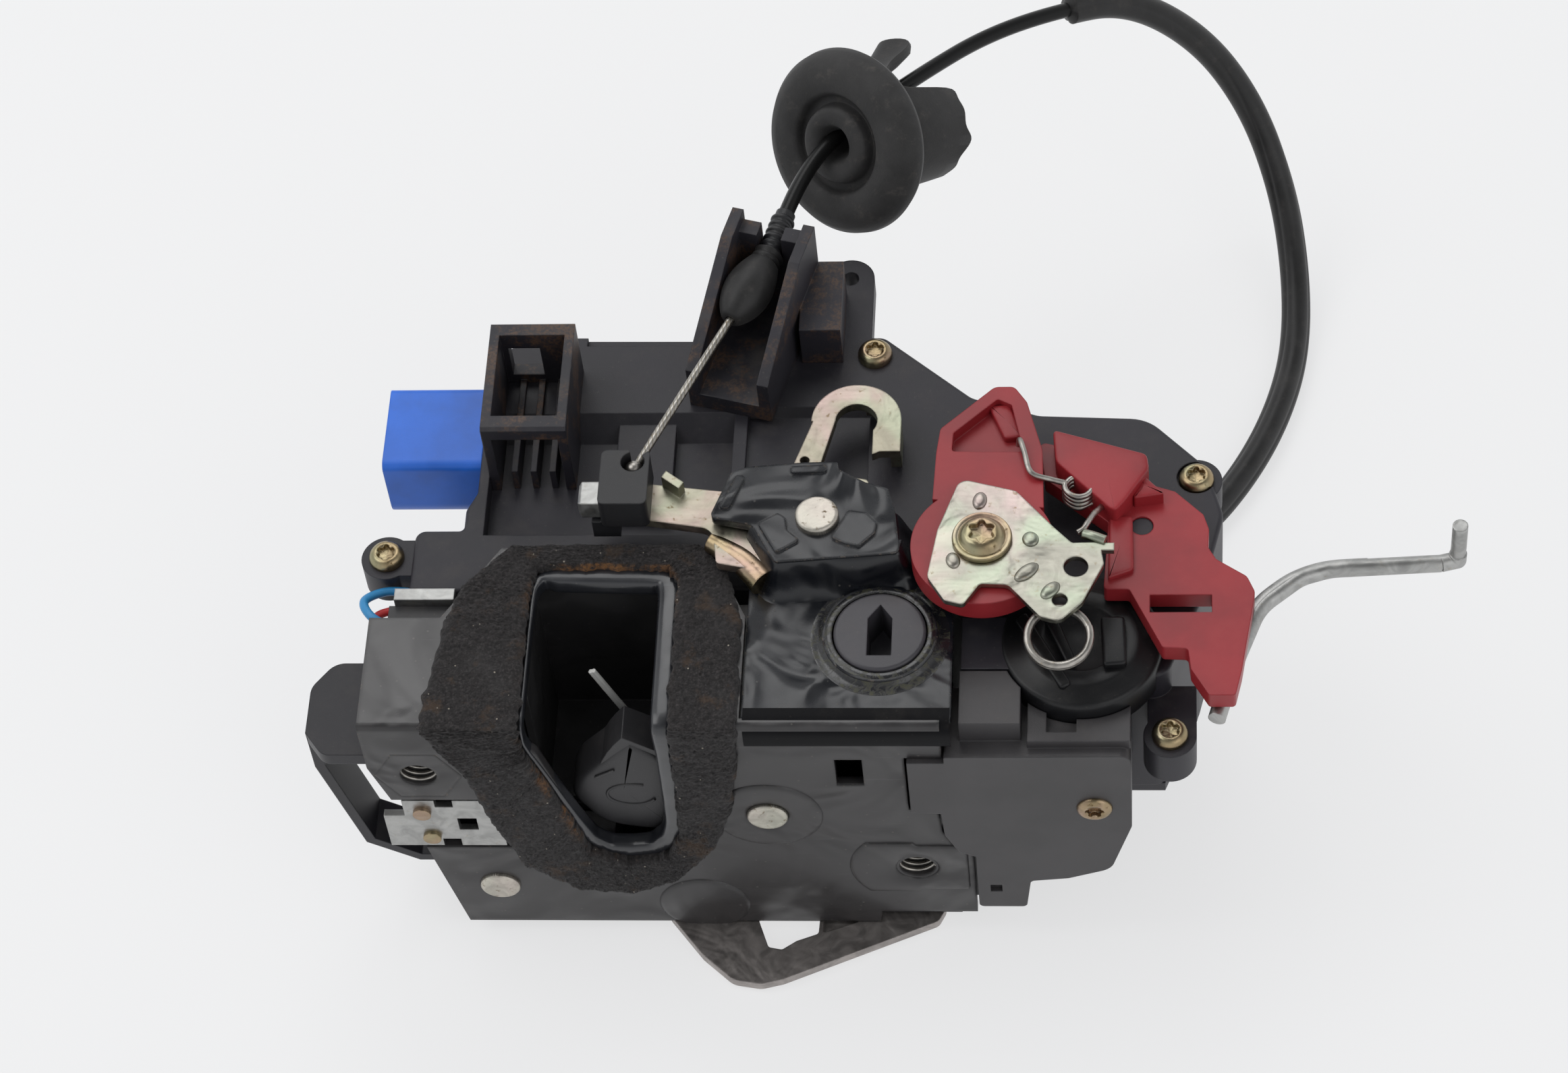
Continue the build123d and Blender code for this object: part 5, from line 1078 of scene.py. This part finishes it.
def detail_dome():
    """The gear dome's shell, with a ring round its middle, and three ribs on it."""
    shell = [(14.62, 38.0), (14.62, 44.0), (14.3, 44.7), (13.7, 44.96), (11.2, 45.0), (10.7, 45.4),
             (10.0, 45.55), (7.4, 45.55), (6.9, 45.3), (6.6, 44.98), (0.0, 44.98)]
    dome = spun("gear_dome", shell, (31.2, 20.5, 0.0), (0, 0, 1), 96, 50, caps=False)
    # the dome wears the darker plastic: painted shade
    dress(dome, "dial")
    ribs = (([(34.6, 24.2), (39.0, 24.2), (39.4, 14.0), (35.2, 13.6)], 2.2),
            ([(19.0, 24.4), (21.2, 26.0), (29.6, 10.4), (27.6, 9.4)], 1.1),
            ([(22.6, 28.8), (25.0, 29.6), (30.6, 14.8), (28.8, 14.2)], 1.1))
    for k, (points, high) in enumerate(ribs):
        rib = pad(f"dome_rib_{k}", rounded_ring(points, 0.8, 4), 44.0, 44.9 + high, 0.5, on_top)
        dress(rib, "dial")


class LATCH_OT_levers(bpy.types.Operator):
    """Raises the red block, its fin, step and web, the stamping's pips and tab, and the ribbed gear dome"""
    bl_idname = "latch.levers"
    bl_label = "Lever details"

    def execute(self, context):
        plate_top = 50.2
        block = rounded_ring([(25.8, 60.3), (43.0, 54.6), (43.4, 51.4), (38.9, 43.9), (37.4, 42.0),
                              (36.4, 42.4), (26.4, 53.0)], [1.2, 1.0, 0.8, 1.2, 0.6, 0.6, 1.0], 5)
        fin = rounded_ring([(40.8, 53.0), (46.2, 47.0), (40.6, 46.0)], 0.5, 4)
        step = rounded_ring([(36.2, 43.2), (40.4, 43.4), (40.6, 31.4), (36.0, 29.6)], [0.6, 0.8, 0.8, 0.5], 4)
        web = rounded_ring([(13.8, 66.2), (17.8, 66.4), (20.4, 59.0), (17.0, 58.6)], 0.6, 4)
        for name, ring, low, high, edge, crown, body in (
                ("red_block", block, plate_top - 0.2, 55.1, 0.45, 0.15, "lock_plate"),
                ("red_fin", fin, plate_top - 0.2, 53.2, 0.4, 0.2, "lock_plate"),
                ("red_step", step, plate_top - 0.2, 51.4, 0.4, 0.1, "lock_plate"),
                ("red_web", web, 52.8, 54.7, 0.4, 0.1, "lock")):
            dress(domed(name, ring, low, high, edge, crown, on_top), "red", body)
        detail_stamping()
        detail_dome()
        return {"FINISHED"}

def six_lobed(r, h, angle):
    """The two rings before the last, round the recess, swell and narrow six times."""
    lobes = np.ones(r.shape)
    lobes[-3:-1] = 1.0 + 0.17 * np.cos(6 * angle)
    return r * lobes, h


class LATCH_OT_screws(bpy.types.Operator):
    """Turns the screw heads with their six-lobed recesses"""
    bl_idname = "latch.screws"
    bl_label = "Screws"

    def execute(self, context):
        housing = [(0.0, -6.5), (1.7, -6.5), (1.7, 0.0), (3.25, 0.0), (3.3, 0.35), (3.2, 0.95), (2.85, 1.55),
                   (2.35, 1.95), (2.05, 2.02), (1.72, 1.98), (1.58, 1.8), (1.5, 0.95), (0.0, 0.8)]
        shouldered = [(0.0, -20.4), (2.6, -20.4), (2.6, 0.0), (5.4, 0.0), (5.45, 0.5), (5.25, 0.95),
                      (4.7, 1.0), (4.3, 0.8), (4.1, 1.0), (3.8, 1.7), (3.2, 2.3), (2.6, 2.5), (2.2, 2.45),
                      (2.05, 1.3), (0.0, 1.1)]
        flush = [(0.0, -5.0), (1.7, -5.0), (1.7, -0.2), (3.25, -0.2), (3.3, 0.1), (3.1, 0.55), (2.6, 0.9),
                 (2.1, 1.0), (1.72, 0.95), (1.58, 0.8), (1.5, -0.1), (0.0, -0.2)]
        up, out = (0, 0, 1), (0, -1, 0)
        for name, profile, place, axis, hidden in (
                ("torx_screw_0", housing, (-98.0, 41.6, 41.4), up, ("housing_screws",)),
                ("torx_screw_1", housing, (52.0, 58.4, 41.4), up, ()),
                ("torx_screw_2", housing, (47.0, 6.4, 35.0), up, ()),
                ("torx_screw_3", housing, (-8.6, 87.6, 42.4), up, ()),
                ("lock_screw", shouldered, (13.5, 33.9, 57.5), up, ("lock_pivot_screw",)),
                ("cover_screw", flush, (33.3, -1.0, 22.2), out, ("side_cover_screw",))):
            screw = spun(name, profile, place, axis, 72, 50, six_lobed)
            dress(screw, "brass", replaces=hidden)
        return {"FINISHED"}

class LATCH_OT_springs(bpy.types.Operator):
    """Winds the over-centre spring and the split ring"""
    bl_idname = "latch.springs"
    bl_label = "Springs"

    def execute(self, context):
        z, low = CABLE_HIGH, 51.4
        turn = np.linspace(radians(170), radians(170) + 2 * pi * 3.3, 150)
        rise = (turn - turn[0]) / (2 * pi) * 1.12
        coil = np.stack([30.6 + 2.5 * np.cos(turn), 47.6 + 2.5 * np.sin(turn), low + 3.7 - rise], 1)
        first = smooth_path([(19.6, 57.0, z - 2.4), (19.9, 56.4, z - 0.2), (20.8, 53.2, z + 0.1),
                             (21.6, 49.9, z - 0.1), (22.8, 48.6, z - 0.5), (25.6, 48.3, z - 1.4),
                             tuple(coil[0])], 60)
        last = smooth_path([tuple(coil[-1]), (34.2, 46.6, low + 0.2), (34.9, 44.4, low + 1.6),
                            (33.6, 41.0, low + 4.0), (32.4, 37.9, low + 5.4), (31.6, 36.3, low + 5.6),
                            (30.6, 35.6, low + 5.5)], 50)
        wire = tube("overcentre_wire", np.vstack([first[:-1], coil, last[1:]]), 0.55, 14)
        dress(wire, "spring", "lock", ("overcentre_spring",))
        centre, axis = np.array([27.4, 15.0, 53.8]), unit((0.0, -0.2, 0.98))
        side = unit(np.cross((0.0, 1.0, 0.0), axis))
        other = np.cross(axis, side)
        turn = np.linspace(0, 2 * pi * 2.05, 180)[:, None]
        ring = centre + 5.6 * (np.cos(turn) * side + np.sin(turn) * other) \
            + (turn / (4 * pi) - 0.5) * 1.25 * axis
        ring = tube("split_ring", ring, 0.72, 14, up=tuple(axis))
        dress(ring, "spring", "lock", ("ring_spring",))
        return {"FINISHED"}


class LATCH_OT_rod(bpy.types.Operator):
    """Draws the bent link rod with its stepped end and turned-up tip"""
    bl_idname = "latch.rod"
    bl_label = "Link rod"

    def execute(self, context):
        z = 44.0
        path = smooth_path([(55.3, 4.0, z), (56.8, 9.6, z), (58.6, 16.0, z), (60.4, 22.6, z),
                            (63.0, 28.0, z), (66.6, 31.8, z), (70.6, 34.6, z), (76.0, 36.4, z),
                            (84.0, 37.0, z), (92.0, 37.4, z), (97.2, 38.0, z + 0.1),
                            (98.8, 38.4, z + 1.2), (99.0, 38.4, z + 3.2), (99.0, 38.4, z + 7.0),
                            (99.0, 38.4, z + 10.55)], 220)
        # the rod is stepped down past x 83, and the edge of its tip is rounded
        wide = np.where(path[:, 0] > 83.0, 1.42, 1.6)
        wide[-2:] = 1.38, 1.15
        rod = tube("bent_link_rod", path, wide, 24, up=(0.3, -0.95, 0.12), sharp=60)
        dress(rod, "zinc", "rod")
        return {"FINISHED"}


class LATCH_OT_wire(bpy.types.Operator):
    """Twists the strands of the inner wire and lays the two switch wires"""
    bl_idname = "latch.wire"
    bl_label = "Wires"

    def execute(self, context):
        start, tip = np.array([-50.7, 50.1, CABLE_HIGH]), np.array([-33.8, 87.3, CABLE_HIGH])
        strands, lay, off_centre = 5, 7.0, 0.42
        axis = unit(tip - start)
        side = unit(np.cross(axis, (0.0, 0.0, 1.0)))
        lift = np.cross(side, axis)
        along = np.linspace(0, 1, 160) * float(np.linalg.norm(tip - start))
        for k in range(strands):
            turn = (along / lay * 2 * pi + k * 2 * pi / strands)[:, None]
            path = start + axis * along[:, None] + off_centre * (np.cos(turn) * side + np.sin(turn) * lift)
            dress(tube(f"wire_strand_{k}", path, 0.36, 8), "strand", "wire")
        blue = smooth_path([(-95.6, 26.6, 40.2), (-99.6, 28.4, 41.4), (-101.4, 32.4, 40.6),
                            (-98.0, 35.6, 39.0), (-93.2, 35.9, 38.4)], 70)
        red = smooth_path([(-95.6, 25.0, 37.8), (-98.6, 26.6, 38.6), (-99.2, 31.2, 37.6),
                           (-93.4, 34.2, 36.0)], 60)
        for name, path, radius, finish, hidden in (
                ("blue_switch_wire", blue, 0.85, "blue_wire", ("switch_wires",)),
                ("red_switch_wire", red, 0.8, "red_wire", ())):
            dress(tube(name, path, radius, 14), finish, replaces=hidden)
        return {"FINISHED"}


# ------------------------------------------------------------ panel and registering
class LATCH_PT_panel(bpy.types.Panel):
    """Lists the pieces and the values that may be changed"""
    bl_label = "Door latch actuator"
    bl_idname = "LATCH_PT_panel"
    bl_space_type = "VIEW_3D"
    bl_region_type = "UI"
    bl_category = "Latch"

    def draw(self, context):
        for group in (context.scene.latch_paint, context.scene.latch_cable, context.scene.latch_detail):
            box = self.layout.box()
            for key in group.__annotations__:
                box.prop(group, key)
        for operator in OPERATORS:
            self.layout.operator(operator.bl_idname)


OPERATORS = (LATCH_OT_finishes, LATCH_OT_stage, LATCH_OT_grommet, LATCH_OT_cable, LATCH_OT_boot,
             LATCH_OT_seal, LATCH_OT_face, LATCH_OT_cap, LATCH_OT_throat, LATCH_OT_levers, LATCH_OT_screws,
             LATCH_OT_springs, LATCH_OT_rod, LATCH_OT_wire)
GROUPS = (LATCH_PG_paint, LATCH_PG_cable, LATCH_PG_detail)


def register():
    for kind in GROUPS + OPERATORS + (LATCH_PT_panel,):
        bpy.utils.register_class(kind)
    bpy.types.Scene.latch_paint = PointerProperty(type=LATCH_PG_paint)
    bpy.types.Scene.latch_cable = PointerProperty(type=LATCH_PG_cable)
    bpy.types.Scene.latch_detail = PointerProperty(type=LATCH_PG_detail)


def unregister():
    del bpy.types.Scene.latch_paint, bpy.types.Scene.latch_cable, bpy.types.Scene.latch_detail
    for kind in reversed(GROUPS + OPERATORS + (LATCH_PT_panel,)):
        bpy.utils.unregister_class(kind)


def main():
    register()
    for operator in OPERATORS:
        group, name = operator.bl_idname.split(".")
        getattr(getattr(bpy.ops, group), name)()


if __name__ == "__main__":
    main()
